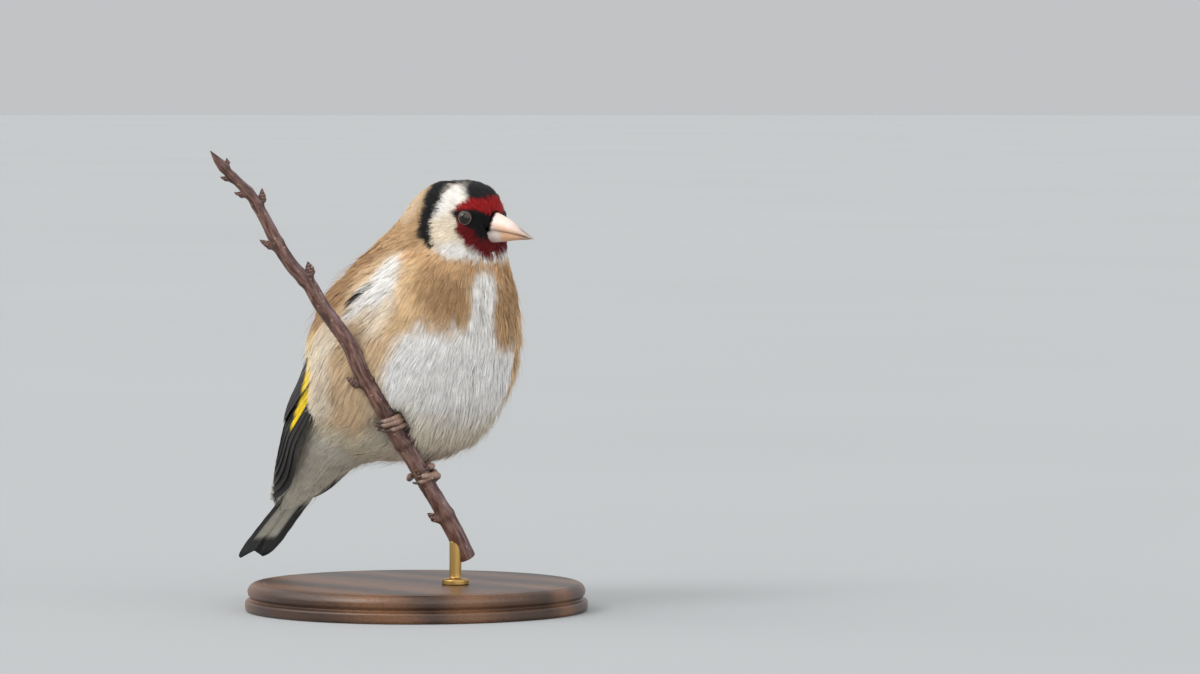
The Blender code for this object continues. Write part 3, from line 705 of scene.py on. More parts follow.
@dataclass(frozen=True)
class Patch:
    """One marking of the plumage.

    Attributes:
        hue: Its colour.
        softness: Half the width of its soft edge, in millimetres.
        outline: Its edge as (station, angle) pairs. One that crosses the middle of the body runs
            from the midline to the midline.
        across: Whether it crosses the midline.
        side: 0 for both sides, 1 for the left one alone.
    """

    hue: Hue
    softness: float
    outline: tuple[tuple[float, float], ...]
    across: bool = True
    side: int = 0

    def share(self, chart: Array) -> Array:
        """How far places on the chart are inside the marking.

        Args:
            chart: Places on the chart.

        Returns:
            Shares from 0 outside to 1 inside.
        """
        places, edge = chart.copy(), self.edge()
        if self.across:
            edge = np.concatenate([edge, (edge * [1.0, -1.0])[::-1]])
        else:
            places[:, 1] = places[:, 1] * self.side if self.side else np.abs(places[:, 1])
        shares = np.zeros(len(chart))
        low, high = edge.min(axis=0) - self.softness, edge.max(axis=0) + self.softness
        close = ((places > low) & (places < high)).all(axis=1)
        places = places[close]
        start, end = edge, np.roll(edge, -1, axis=0)
        way = end - start
        offset = places[:, None, :] - start[None]
        size = np.maximum((way**2).sum(axis=-1), 1e-9)
        along = np.clip((offset * way).sum(axis=-1) / size, 0.0, 1.0)
        distance = np.linalg.norm(offset - along[..., None] * way, axis=-1).min(axis=1)
        x, y = places[:, :1], places[:, 1:]
        spans = (start[:, 1] > y) != (end[:, 1] > y)
        with np.errstate(divide="ignore", invalid="ignore"):
            cross = start[:, 0] + (y - start[:, 1]) * way[:, 0] / way[:, 1]
        inside = (spans & (x < cross)).sum(axis=1) % 2 == 1
        distance = np.where(inside, distance, -distance)
        shares[close] = smoothstep(-self.softness, self.softness, distance)
        return shares

    def edge(self) -> Array:
        """Lays the outline on the chart, in steps of 15 degrees or less.

        Returns:
            Places on the chart, one row each.
        """
        rows = np.array(self.outline)
        parts = [rows[:1]]
        for start, end in zip(rows[:-1], rows[1:]):
            count = max(1, math.ceil(abs(end[1] - start[1]) / 15.0))
            parts.append(start + (end - start) * np.arange(1, count + 1)[:, None] / count)
        station, angle = np.concatenate(parts).T
        return polar(station, np.radians(angle))


BAND_REAR = (
    (1.2, 150), (2.2, 130), (4.5, 117.5), (6.2, 114), (8.8, 112), (11.2, 109),
    (14.2, 103), (16.2, 93), (16.9, 86),
)
BAND_FRONT = (
    (0.9, 80), (2, 82), (4.5, 89), (8.2, 93), (10.2, 97), (12.2, 94.5),
    (14.5, 90), (16.7, 81),
)
# Markings from the ground up: each lies over those before it
MARKINGS = (
    Patch(Hue.PALE_FLANK, 3.5, (
        (42, 92), (50, 92), (58, 84), (64, 76), (72, 84), (70, 112),
        (56, 118), (46, 110),
    ), across=False),
    Patch(Hue.MANTLE, 2.4, (
        (0.5, 180), (1.5, 114), (6, 116), (12, 108), (17, 97), (19, 108),
        (23, 113), (27, 112), (31.5, 107), (36.5, 105), (43, 109), (48, 115),
        (52, 124), (58, 140), (62, 180),
    )),
    Patch(Hue.NAPE, 2.6, (
        (0.5, 180), (1.5, 114), (6, 114), (12, 106), (17, 88), (18.6, 98),
        (20.5, 112), (22, 140), (20, 180),
    )),
    Patch(Hue.PALE_NAPE, 1.8, (
        (2, 180), (2.2, 140), (4, 122), (8, 120), (11, 126), (9.6, 160),
        (8.6, 180),
    )),
    Patch(Hue.RUMP, 4, (
        (56, 180), (60, 150), (70, 138), (84, 130), (126, 124), (126, 180),
    )),
    Patch(Hue.CHEEK, 0.5, (
        (0.3, 0), *BAND_FRONT, (17.9, 68), (18.4, 49), (18.4, 35), (18.6, 10), (18.6, 0),
    )),
    Patch(Hue.WHITE, 1.6, (
        (0.3, 0), (1, 93), (4, 97), (7.5, 99), (9.5, 96), (8.4, 80), (6.4, 66),
        (3, 40), (2.5, 0),
    )),
    Patch(Hue.WHITE, 1.2, (
        (15.2, 0), (15.6, 40), (15, 62), (16.4, 76), (18.4, 62), (18.6, 40), (18.8, 0),
    )),
    Patch(Hue.VENT, 5, (
        (60, 0), (60, 30), (62, 44), (66, 66), (74, 92), (78, 116),
        (92, 120), (92, 0),
    )),
    Patch(Hue.UNDERTAIL, 4, (
        (76, 0), (75, 60), (78, 100), (84, 134), (126, 130), (126, 0),
    )),
    Patch(Hue.WING, 1.5, (
        (92, 180), (93, 140), (98, 118), (104, 108), (126, 106), (126, 180),
    )),
    Patch(Hue.BELLY, 3.2, (
        (28.6, 0), (31, 16), (31.6, 30), (33, 47), (37.5, 58), (43, 60),
        (49, 55), (56, 42), (59, 22), (59, 0),
    )),
    # The lower belly: buff, and darker as painted shade on the underside
    Patch(Hue.LOW_BELLY_BUFF_AND_SHADE, 6, (
        (50, 0), (50, 40), (56, 56), (66, 50), (66, 0),
    )),
    Patch(Hue.BUFF, 2.4, (
        (32, 39), (38, 38), (46, 37), (52, 46), (50, 66), (34, 62),
    ), across=False, side=1),
    Patch(Hue.COLLAR, 1.4, (
        (19.2, 0), (18.9, 49), (18, 66), (17.4, 84), (18.6, 97), (21, 100),
        (22, 88), (23, 60), (23, 30), (22.4, 0),
    )),
    Patch(Hue.BUFF, 1.8, (
        (21, 88), (20, 74), (24, 60), (31, 46), (34, 50), (36, 62),
        (34, 76), (28, 78), (24, 86),
    ), across=False),
    Patch(Hue.PALE_FLANK, 2.6, (
        (26.5, 78), (31, 66), (36, 66), (40, 78), (38, 86), (32, 82),
    ), across=False),
    Patch(Hue.WHITE, 1.3, (
        (20.6, 0), (21.4, 12), (24, 14), (27.5, 11), (31, 14), (33, 20), (33, 0),
    )),
    Patch(Hue.WHITE, 1.6, (
        (20.6, 102), (21.4, 92), (24, 86), (27.5, 78), (32.5, 77), (37, 88),
        (41, 96), (41, 100), (35, 97), (30, 98), (24, 103),
    ), across=False),
    Patch(Hue.BREAST, 2, (
        (21, 74), (20.4, 56), (21.2, 34), (23.2, 19), (27.6, 11), (30.6, 12),
        (31.8, 26), (30.6, 44), (28.4, 56), (25.6, 66),
    ), across=False),
    Patch(Hue.DEEP_BREAST, 2, (
        (24, 26), (27.1, 17), (29.6, 18), (29.8, 30), (27.6, 46), (24, 50),
    ), across=False),
    Patch(Hue.BREAST, 1.8, (
        (26.5, 15), (30, 14), (33.6, 18), (35.4, 28), (34.4, 40), (30, 46),
        (26.5, 40),
    ), across=False, side=1),
    Patch(Hue.YELLOW_EDGE, 2.4, (
        (50, 118), (55, 112), (64, 108), (68, 112), (64, 124), (52, 126),
    ), across=False),
    Patch(Hue.WING, 0.3, (
        (31.2, 90.5), (33.2, 96), (35.6, 99.5), (38.4, 100.5), (37.2, 98), (34.6, 95),
    ), across=False),
    Patch(Hue.BLACK, 0.4, ((0.9, 180), *BAND_REAR, *BAND_FRONT[::-1], (0.3, 0))),
    # Red of the lower face and chin, painted darker as shade under the head
    Patch(Hue.SHADED_RED, 0.35, (
        (3.9, 0), (3.9, 15), (4.3, 26), (4.2, 42), (4.6, 48), (5.8, 60), (7.2, 68),
        (7.9, 71), (9.7, 65), (12.2, 61), (13.4, 54), (14.9, 47), (15.9, 40),
        (16.8, 30), (17.6, 19), (17.9, 9), (17.9, 0),
    )),
    # A thin black line under the lower bill: the chin's dark feathers and a painted shadow under
    # the bill
    Patch(Hue.BLACK, 0.3, (
        (14, 0), (13.8, 14), (13.2, 27), (13.6, 29), (14.5, 18), (14.9, 0),
    )),
    Patch(Hue.CROWN, 0.4, (
        (0.7, 180), (0.3, 49), (1.5, 51), (3, 49), (4.8, 46), (5, 26), (4.6, 15),
        (4.6, 0),
    )),
    Patch(Hue.RED, 0.35, (
        (4, 0), (4, 15), (4.4, 26), (4.3, 42), (4.7, 48), (5.8, 59), (7, 66),
        (7, 40), (8.2, 18), (7.5, 0),
    )),
    Patch(Hue.BLACK, 0.35, (
        (7.5, 0), (8.2, 18), (7, 40), (7.7, 72), (9.7, 63), (10.7, 54),
        (11.8, 42), (13.2, 33), (14.3, 27), (14.6, 14), (14.6, 0),
    )),
)


@dataclass(frozen=True)
class Markings:
    """Colours of the plumage at places on the chart of a form.

    Attributes:
        form: The form that the chart belongs to.
        twist: How far the breast's markings are turned with the head, in degrees.
    """

    form: BodyForm
    twist: float = 9.0

    def colour(self, chart: Array) -> Array:
        """Reads the markings.

        Args:
            chart: Places on the chart, one row each.

        Returns:
            Linear colours, one row each.
        """
        station, angle = self.form.read_chart(chart)
        station = np.minimum(station, self.form.length)
        turn = self.twist * smoothstep(16, 21, station) * (1 - smoothstep(33, 40, station))
        places = polar(station, np.radians(angle + turn))
        colours = np.tile(Hue.FLANK.rgb(), (len(chart), 1))
        for patch in MARKINGS:
            colours = mix(colours, patch.hue.rgb(), patch.share(places)[:, None])
        return colours


# ---------------------------------------------------------------- finishes


def add_node(tree: NodeTree, kind: str, inputs: dict | None = None, **settings: object) -> Node:
    """Adds one node with its settings, values and links.

    Args:
        tree: The material's node tree.
        kind: The node's type, without its "ShaderNode" beginning.
        inputs: Plain values or other nodes' outputs, by input name or number.
        settings: The node's own settings.

    Returns:
        The new node.
    """
    node = tree.nodes.new("ShaderNode" + kind)
    for name, value in settings.items():
        setattr(node, name, value)
    for name, value in (inputs or {}).items():
        if isinstance(value, NodeSocket):
            tree.links.new(value, node.inputs[name])
        else:
            node.inputs[name].default_value = value
    return node


def rgba(hex_colour: str) -> tuple[float, ...]:
    """An sRGB hex value as a linear colour with full cover."""
    return (*linear(hex_colour), 1.0)


def per_mm(size: float) -> float:
    """The texture scale that repeats each size millimetres in a model in metres."""
    return 1.0 / (size * MM)


def painted(tree: NodeTree) -> NodeSocket:
    """The colour that is painted on the mesh's points."""
    return add_node(tree, "VertexColor", layer_name=COLOUR_LAYER).outputs["Color"]


def spots(tree: NodeTree, stretch: Triple = (1.0, 1.0, 1.0)) -> NodeSocket:
    """Gives places on the object.

    Args:
        tree: The material's node tree.
        stretch: Factors along the axes. One below 1 draws a finish out along its axis.

    Returns:
        The places.
    """
    at = add_node(tree, "TexCoord").outputs["Object"]
    if stretch == (1.0, 1.0, 1.0):
        return at
    return add_node(tree, "Mapping", {"Vector": at, "Scale": stretch}).outputs["Vector"]


def grains(tree: NodeTree, at: NodeSocket, scale: float, detail: float,
           rough: float = 0.5) -> NodeSocket:
    """A field of soft, uneven spots from 0 to 1.

    Args:
        tree: The material's node tree.
        at: What gives the places.
        scale: How many spots there are in a unit of length.
        detail: How much finer detail they hold.
        rough: How strong that detail is.

    Returns:
        The field.
    """
    settings = {"Vector": at, "Scale": scale, "Detail": detail, "Roughness": rough}
    return add_node(tree, "TexNoise", settings).outputs["Fac"]


def spread(tree: NodeTree, value: NodeSocket, low: float, high: float, start: float = 0.0,
           end: float = 1.0) -> NodeSocket:
    """Turns values from start to end to values from low to high.

    Args:
        tree: The material's node tree.
        value: What gives the values.
        low: What start turns to.
        high: What end turns to.
        start: The first value.
        end: The last value.

    Returns:
        The turned values.
    """
    return add_node(tree, "MapRange", {
        "Value": value, "From Min": start, "From Max": end, "To Min": low, "To Max": high,
    }).outputs["Result"]


def times(tree: NodeTree, first: NodeSocket | Array, second: NodeSocket) -> NodeSocket:
    """Multiplies two colours, or a colour by a factor."""
    node = add_node(tree, "VectorMath", {0: first, 1: second}, operation="MULTIPLY")
    return node.outputs["Vector"]


def reckon(tree: NodeTree, operation: str, *values: NodeSocket | float) -> NodeSocket:
    """Works out one number from others."""
    return add_node(tree, "Math", dict(enumerate(values)), operation=operation).outputs["Value"]


def ramp(tree: NodeTree, value: NodeSocket, colours: tuple[str, str],
         ends: tuple[float, float] = (0.0, 1.0)) -> NodeSocket:
    """Goes from one colour to another.

    Args:
        tree: The material's node tree.
        value: What gives the place between them.
        colours: The two colours, as sRGB hex values.
        ends: The values at which they stand.

    Returns:
        The colour.
    """
    node = add_node(tree, "ValToRGB", {"Fac": value})
    for element, colour, end in zip(node.color_ramp.elements, colours, ends):
        element.position = end
        element.color = rgba(colour)
    return node.outputs["Color"]


def mottled(tree: NodeTree, colour: NodeSocket | Array, size: float, low: float,
            high: float) -> NodeSocket:
    """Makes a colour lighter and darker in soft spots.

    Args:
        tree: The material's node tree.
        colour: The colour, or what gives it.
        size: The size of a spot in millimetres.
        low: The darkest factor.
        high: The lightest factor.

    Returns:
        The mottled colour.
    """
    field = grains(tree, spots(tree), per_mm(size), 3.0)
    return times(tree, colour, spread(tree, field, low, high, 0.3, 0.7))


def new_material(name: str, settings: dict) -> tuple[Material, NodeTree]:
    """Starts a material.

    Args:
        name: Its name, after the real material.
        settings: Values for the main shader's sockets.

    Returns:
        The material and its node tree.
    """
    made = bpy.data.materials.new(name)
    made.use_nodes = True
    shader = made.node_tree.nodes["Principled BSDF"]
    for socket, value in settings.items():
        shader.inputs[socket].default_value = value
    return made, made.node_tree


def finish_with(tree: NodeTree, colour: NodeSocket | None = None, height: NodeSocket | None = None,
                depth: float = 0.0, roughness: NodeSocket | None = None) -> None:
    """Links colour, relief and roughness to the main shader.

    Args:
        tree: The material's node tree.
        colour: What gives the colour.
        height: What gives the relief, from 0 to 1.
        depth: The relief's depth in millimetres.
        roughness: What gives the roughness.
    """
    shader = tree.nodes["Principled BSDF"]
    if colour is not None:
        tree.links.new(colour, shader.inputs["Base Color"])
    if roughness is not None:
        tree.links.new(roughness, shader.inputs["Roughness"])
    if height is not None:
        bump = add_node(tree, "Bump", {"Strength": 1.0, "Distance": depth * MM, "Height": height})
        tree.links.new(bump.outputs["Normal"], shader.inputs["Normal"])


@dataclass(frozen=True)
class DownFinish:
    """Keratin barbs of the small body feathers.

    Fine, dry fibres that scatter light: matt in the middle and with a soft pale sheen at
    grazing angles, which is what makes plumage look deep.
    """

    name: str = "contour_feather_keratin"
    roughness: float = 0.75
    sheen: float = 0.06
    mottle: float = 2.4

    def material(self) -> Material:
        """Builds the material.

        Returns:
            The material.
        """
        made, tree = new_material(self.name, {
            "Roughness": self.roughness, "IOR": 1.5, "Specular IOR Level": 0.16,
            "Sheen Weight": self.sheen, "Sheen Roughness": 0.5,
        })
        finish_with(tree, mottled(tree, painted(tree), self.mottle, 0.9, 1.08))
        return made


@dataclass(frozen=True)
class SkinFinish:
    """The thick under-down close to the skin, seen only between feathers.

    It has the colour of the feathers over it, darker as painted shade in its depth, and broken by
    fine fibres.
    """

    name: str = "under_down"
    mottle: float = 0.8
    fibre: float = 0.25

    def material(self) -> Material:
        """Builds the material.

        Returns:
            The material.
        """
        made, tree = new_material(self.name, {"Roughness": 0.9, "Specular IOR Level": 0.2})
        fibres = grains(tree, spots(tree), per_mm(self.fibre), 4.0)
        # The mottle only darkens: painted shade in the depth under the feathers, in uneven spots
        finish_with(tree, mottled(tree, painted(tree), self.mottle, 0.78, 0.98), fibres, 0.25)
        return made


@dataclass(frozen=True)
class VaneFinish:
    """Keratin vane of flight and tail feathers: barbs zipped into a smooth, faintly glossy sheet.

    Real barbs lie 0.25 mm apart; they are drawn 0.4 mm apart, so that they show at this size.
    They slant back from the shaft, which is what makes a vane look combed.
    """

    name: str = "flight_feather_keratin"
    roughness: float = 0.46
    barb: float = 0.4
    slant: float = 1.3

    def material(self) -> Material:
        """Builds the material.

        Returns:
            The material.
        """
        made, tree = new_material(self.name, {
            "Roughness": self.roughness, "IOR": 1.5, "Specular IOR Level": 0.3,
            "Sheen Weight": 0.03, "Sheen Roughness": 0.4,
        })
        grain = add_node(tree, "UVMap", uv_map=GRAIN_MAP).outputs["UV"]
        parts = add_node(tree, "SeparateXYZ", {"Vector": grain}).outputs
        aside = reckon(tree, "ABSOLUTE", parts["X"])
        along = reckon(tree, "MULTIPLY_ADD", aside, -self.slant, parts["Y"])
        wave = reckon(tree, "SINE", reckon(tree, "MULTIPLY", along, 2 * math.pi / self.barb))
        height = spread(tree, wave, 0.0, 1.0, -1.0)
        # The barbs' colour follows their relief: painted shade in the grooves between barbs and a
        # painted highlight on their crests
        groove_shaded = times(tree, painted(tree), spread(tree, height, 0.86, 1.1))
        finish_with(tree, mottled(tree, groove_shaded, 1.6, 0.88, 1.1), height, 0.05)
        return made


@dataclass(frozen=True)
class HornFinish:
    """Horn of the bill: dense keratin, smooth, with a waxy depth and faint growth lines."""

    name: str = "bill_horn"
    roughness: float = 0.34
    mottle: float = 1.1
    line: float = 0.35

    def material(self) -> Material:
        """Builds the material.

        Returns:
            The material.
        """
        made, tree = new_material(self.name, {
            "Roughness": self.roughness, "IOR": 1.54, "Subsurface Weight": 0.18,
            "Subsurface Radius": (1.0, 0.5, 0.35), "Subsurface Scale": 0.6 * MM,
            "Coat Weight": 0.12, "Coat Roughness": 0.25,
        })
        lines = grains(tree, spots(tree, (0.25, 1.0, 1.0)), per_mm(self.line), 3.0)
        colour = mottled(tree, painted(tree), self.mottle, 0.93, 1.04)
        finish_with(tree, colour, lines, 0.03, spread(tree, lines, 0.26, 0.46))
        return made


@dataclass(frozen=True)
class EyeFinish:
    """Glass eye of a mounted bird: near black brown behind a clear, wet-looking cornea."""

    name: str = "glass_eye"
    mottle: float = 0.25

    def material(self) -> Material:
        """Builds the material.

        Returns:
            The material.
        """
        made, tree = new_material(self.name, {
            "Roughness": 0.02, "IOR": 1.5, "Specular IOR Level": 0.5,
        })
        finish_with(tree, mottled(tree, painted(tree), self.mottle, 0.7, 1.3))
        return made


@dataclass(frozen=True)
class ScaledSkinFinish:
    """Horny scales of legs and toes: dry, brown-pink keratin with a dull shine and dark seams."""

    name: str = "scaled_leg_keratin"
    roughness: float = 0.48
    mottle: float = 0.5
    pore: float = 0.3

    def material(self) -> Material:
        """Builds the material.

        Returns:
            The material.
        """
        made, tree = new_material(self.name, {
            "Roughness": self.roughness, "IOR": 1.5, "Subsurface Weight": 0.1,
            "Subsurface Radius": (1.0, 0.4, 0.3), "Subsurface Scale": 0.4 * MM,
        })
        pores = add_node(tree, "TexVoronoi", {"Vector": spots(tree), "Scale": per_mm(self.pore)})
        colour = mottled(tree, painted(tree), self.mottle, 0.8, 1.12)
        finish_with(tree, colour, pores.outputs["Distance"], 0.04)
        return made


@dataclass(frozen=True)
class BarkFinish:
    """Bark of a young twig: thin, reddish brown under a grey film that has cracked lengthwise."""

    name: str = "young_twig_bark"
    ground: str = "#573A34"
    film: str = "#8C7570"
    fleck: str = "#B3A08F"

    def material(self) -> Material:
        """Builds the material.

        Returns:
            The material.
        """
        made, tree = new_material(self.name, {"Roughness": 0.62, "Specular IOR Level": 0.35})
        grain = add_node(tree, "UVMap", uv_map=GRAIN_MAP).outputs["UV"]
        lengthwise = {"Vector": grain, "Scale": (1.0, 0.16, 1.0)}
        long_grain = add_node(tree, "Mapping", lengthwise).outputs["Vector"]
        film = grains(tree, long_grain, 1.3, 5.0, 0.6)
        flecks = add_node(tree, "TexVoronoi", {"Vector": grain, "Scale": 0.55, "Randomness": 1.0})
        mixed = add_node(tree, "MixRGB", {
            "Fac": spread(tree, flecks.outputs["Distance"], 0.7, 0.0, 0.1, 0.2),
            "Color1": ramp(tree, film, (self.ground, self.film), (0.38, 0.66)),
            "Color2": rgba(self.fleck),
        })
        cracks = grains(tree, long_grain, 4.0, 4.0)
        finish_with(tree, times(tree, mixed.outputs["Color"], painted(tree)), cracks, 0.18)
        return made


@dataclass(frozen=True)
class WoodFinish:
    """Turned and waxed walnut of the stand's base: long brown grain with a soft, even shine."""

    name: str = "waxed_walnut"
    dark: str = "#3B2517"
    light: str = "#6E4A2F"
    ring: float = 3.2
    pore: float = 0.5

    def material(self) -> Material:
        """Builds the material.

        Returns:
            The material.
        """
        made, tree = new_material(self.name, {
            "Roughness": 0.42, "Coat Weight": 0.18, "Coat Roughness": 0.3,
        })
        board = spots(tree, (0.09, 1.0, 1.0))
        rings = add_node(tree, "TexWave", {
            "Vector": board, "Scale": per_mm(self.ring) / 20.0, "Distortion": 7.0, "Detail": 3.0,
            "Detail Scale": 1.4,
        }, bands_direction="Y")
        pores = grains(tree, board, per_mm(self.pore), 3.0)
        grain = ramp(tree, rings.outputs["Fac"], (self.dark, self.light))
        colour = times(tree, grain, spread(tree, pores, 0.72, 1.05, 0.35, 0.6))
        finish_with(tree, colour, pores, 0.04, spread(tree, pores, 0.5, 0.34))
        return made


@dataclass(frozen=True)
class BrassFinish:
    """Drawn brass rod, rubbed with fine steel wool: satin, with a slight brown bloom."""

    name: str = "satin_brass"
    colour: str = "#B8965A"
    line: float = 0.2

    def material(self) -> Material:
        """Builds the material.

        Returns:
            The material.
        """
        made, tree = new_material(self.name, {
            "Base Color": rgba(self.colour), "Metallic": 1.0, "Roughness": 0.34,
        })
        lines = grains(tree, spots(tree, (1.0, 1.0, 0.08)), per_mm(self.line), 2.0)
        finish_with(tree, None, lines, 0.01, spread(tree, lines, 0.24, 0.48))
        return made


@dataclass(frozen=True)
class FloorFinish:
    """Matt painted board of the studio floor: pale, even, with only a trace of unevenness."""

    name: str = "painted_board"
    colour: str = "#A7AAAC"
    mottle: float = 400.0

    def material(self) -> Material:
        """Builds the material.

        Returns:
            The material.
        """
        made, tree = new_material(self.name, {"Roughness": 0.85, "Specular IOR Level": 0.25})
        finish_with(tree, mottled(tree, linear(self.colour), self.mottle, 0.98, 1.02))
        return made


# ---------------------------------------------------------------- where the twig runs


def picture_point(across: Array, up: Array) -> Array:
    """Points of the twig, from their places in the camera's plane.

    Args:
        across: Distance to the right of the trunk's middle.
        up: Distance above it.

    Returns:
        The points, in millimetres.
    """
    turn, tilt = math.radians(VIEW_TURN), math.radians(VIEW_TILT)
    depth = TWIG_DEPTH + TWIG_DEPTH_RISE * (up - TWIG_DEPTH_LEVEL)
    shrink = 1 - depth / VIEW_DISTANCE
    across = across * shrink
    up = up * shrink + depth * math.sin(tilt)
    x = across * math.cos(turn) + depth * math.sin(turn)
    y = across * math.sin(turn) - depth * math.cos(turn)
    return np.stack([x, y, up], axis=-1)


TWIG_TABLE = np.array(TWIG_LINE)[::-1]
TWIG_CURVE = Curve(TWIG_TABLE[:, 1], TWIG_TABLE[:, [0, 2]])
BILL_TABLE = np.array(BILL_SECTIONS)
BILL_CURVE = Curve(BILL_TABLE[:, 0], BILL_TABLE[:, 1:])


def twig_at(level: float) -> tuple[Array, Array, float]:
    """Reads the twig at one level.

    Args:
        level: Height as the camera sees it.

    Returns:
        Its middle, its direction upwards and its radius.
    """
    across, radius = TWIG_CURVE(level)
    beyond = TWIG_CURVE(level + 1.0)[0]
    centre = picture_point(across, np.float64(level))
    return centre, unit(picture_point(beyond, np.float64(level + 1.0)) - centre), float(radius)


def twig_along(count: int) -> tuple[Array, Array]:
    """Follows the twig from its tip to the cut.

    Args:
        count: How many points.

    Returns:
        Points along its middle, and its radius there.
    """
    levels = np.linspace(TWIG_LINE[0][1], TWIG_LINE[-1][1], count)
    across, radius = np.moveaxis(TWIG_CURVE(levels), -1, 0)
    return picture_point(across, levels), radius


def round_bill(local: Array) -> tuple[Array, Array]:
    """How places of the head's own frame lie to the bill.

    Args:
        local: Places as ahead, left and up.

    Returns:
        The bill's middle level there, and the square of the places' distance from it as a share
        of the bill's own reach.
    """
    half, top, low = (
        np.interp(local[..., 0], BILL_TABLE[:, 0], BILL_TABLE[:, i]) for i in (1, 2, 4)
    )
    middle, reach = (top + low) / 2, (top - low) / 2
    return middle, (local[..., 1] / half) ** 2 + ((local[..., 2] - middle) / reach) ** 2


# ---------------------------------------------------------------- skin and coat


class Clearing:
    """The hollow that twig and toes press into the plumage."""

    reach = 8.0
    foot_half = 3.7
    toe_room = 1.75
    deepest = 6.0

    def __init__(self) -> None:
        """Reads the twig's line and where the feet are."""
        self.line, self.radius = twig_along(240)
        self.axis = unit(np.gradient(self.line, axis=0))
        for level in (RIGHT_FOOT_LEVEL, LEFT_FOOT_LEVEL):
            away = np.linalg.norm(self.line - twig_at(level)[0], axis=1)
            share = 1 - smoothstep(self.foot_half - 0.6, self.foot_half + 0.6, away)
            self.radius = self.radius + self.toe_room * share

    def near(self, points: Array) -> Array:
        """Finds points that come near the twig.

        Args:
            points: Points, with one tuft or more to a row.

        Returns:
            True for each row that comes near.
        """
        flat = points.reshape(len(points), -1, 3)
        away = np.linalg.norm(flat[:, :, None, :] - self.line[::6], axis=-1)
        return away.min(axis=(1, 2)) < self.reach

    def press(self, points: Array, normals: Array, margin: float) -> Array:
        """Moves points that twig or toes would cover inwards.

        Args:
            points: Points, one row each.
            normals: Outward normals there.
            margin: Room that they keep, in millimetres.

        Returns:
            The points, moved where they have to be.
        """
        away = np.linalg.norm(points[:, None] - self.line[None], axis=-1)
        index = away.argmin(axis=1)
        centre, axis = self.line[index], self.axis[index]
        radius = self.radius[index] + margin
        offset = points - centre
        offset = offset - axis * (offset * axis).sum(axis=1, keepdims=True)
        way = unit(normals - axis * (normals * axis).sum(axis=1, keepdims=True))
        height = (offset * way).sum(axis=1)
        aside = np.sqrt(np.maximum((offset**2).sum(axis=1) - height**2, 0.0))
        inside = -np.sqrt(np.maximum(radius**2 - aside**2, 0.0))
        limit = np.where(aside < radius, inside, (aside - radius) * 1.7)
        fall = np.where(away.min(axis=1) < self.reach, np.maximum(height - limit, 0.0), 0.0)
        return points - way * np.minimum(fall, self.deepest)[:, None]


@dataclass
class Skin:
    """One skin under the whole coat, from the crown to the end of the tail coverts.

    Attributes:
        form: The body's outline.
        markings: Its colours.
        clearing: The hollow around twig and toes.
        rings: How many sections.
        sides: How many points around each.
        shade: How much darker than the coat it is, as painted shade in the depth under the
            feathers.
    """

    form: BodyForm
    markings: Markings
    clearing: Clearing
    rings: int = 170
    sides: int = 96
    shade: float = 0.86

    @staticmethod
    def depth(station: Array) -> Array:
        """How far the skin lies inside the outline of the plumage."""
        return 0.35 + 0.75 * smoothstep(12.0, 30.0, station)

    def build(self, material: Material) -> None:
        """Makes the skin.

        Args:
            material: Its finish.
        """
        stations = self.form.length * np.linspace(0.0, 1.0, self.rings) ** 1.25
        angles = np.arange(self.sides) * 360.0 / self.sides
        station, angle = np.meshgrid(stations, angles, indexing="ij")
        points = self.form.point(station, angle)
        reach = np.linalg.norm(points - points.mean(axis=1, keepdims=True), axis=-1)
        normals = self.form.normal(np.maximum(station, 0.3), angle)
        points = points - normals * np.minimum(self.depth(station), 0.45 * reach)[..., None]
        pressed = self.clearing.press(points.reshape(-1, 3), normals.reshape(-1, 3), 0.35)
        points = self.bare_bill(pressed).reshape(points.shape)
        chart = polar(station, np.radians(angle))
        # The skin takes the markings' colours, darkened as painted shade in the depth under the
        # feathers
        colours = self.markings.colour(chart.reshape(-1, 2)) * self.shade
        piece = loft("skin", points, material, colours, flip=True)
        settle(piece, "body_plumage", "head", "neck", "torso")

    @staticmethod
    def bare_bill(points: Array) -> Array:
        """Draws points in around the lower half of the bill, so that its base shows.

        Args:
            points: Points of the skin, one row each.

        Returns:
            The points, moved where they have to be.
        """
        local = to_head(points)
        middle, far = round_bill(local)
        far = np.sqrt(far)
        near = (far < 1.4) & (local[:, 0] > 8.2) & (local[:, 2] < -1.6)
        share = np.where(near, 0.84 / np.maximum(far, 0.84), 1)
        up = middle + (local[:, 2] - middle) * share
        moved = head_point(local[:, 0], local[:, 1] * share, up)
        return np.where((share < 1)[:, None], moved, points)


def add_ribbons(store: MeshStore, points: Array, colours: Array, bake: Array, facing: Array,
                corners: tuple[int, int, int, int]) -> None:
    """Adds barbs as thin ribbons.

    Args:
        store: Where they are gathered.
        points: Points by tuft, barb, step along it and edge.
        colours: A linear colour for each step.
        bake: A place on the bake map for each step.
        facing: The way that each step faces.
        corners: The order of a face's corners, counted from the first edge of its step.
    """
    tufts, barbs, steps = points.shape[:3]
    colours, bake, facing = (
        np.repeat(values[:, :, :, None, :], 2, axis=3) for values in (colours, bake, facing)
    )
    bake[..., 1, 0] += BARB_BAKE_WIDTH
    ribbon = 2 * np.arange(steps - 1)[:, None] + corners
    faces = (np.arange(tufts * barbs) * steps * 2)[:, None, None] + ribbon
    store.add(points, faces, colours, bake, normals=facing)


@dataclass(frozen=True)
class TuftGroup:
    """One size of feather tuft.

    Attributes:
        name: The piece's name.
        slot: The record's material slot, handed to settle, which does not use it.
        first: Station where the group starts.
        last: Station where it ends.
        barbs: How many barbs in a tuft.
        pieces: How many faces along a barb.
        spacing: Distance between tufts, in millimetres.
        ribbon: Half width of a barb at its widest, in millimetres.
        rise: How much higher than the coat its tips stand, in millimetres.
    """

    name: str
    slot: str
    first: float
    last: float
    barbs: int
    pieces: int
    spacing: float
    ribbon: float
    rise: float = 0.0


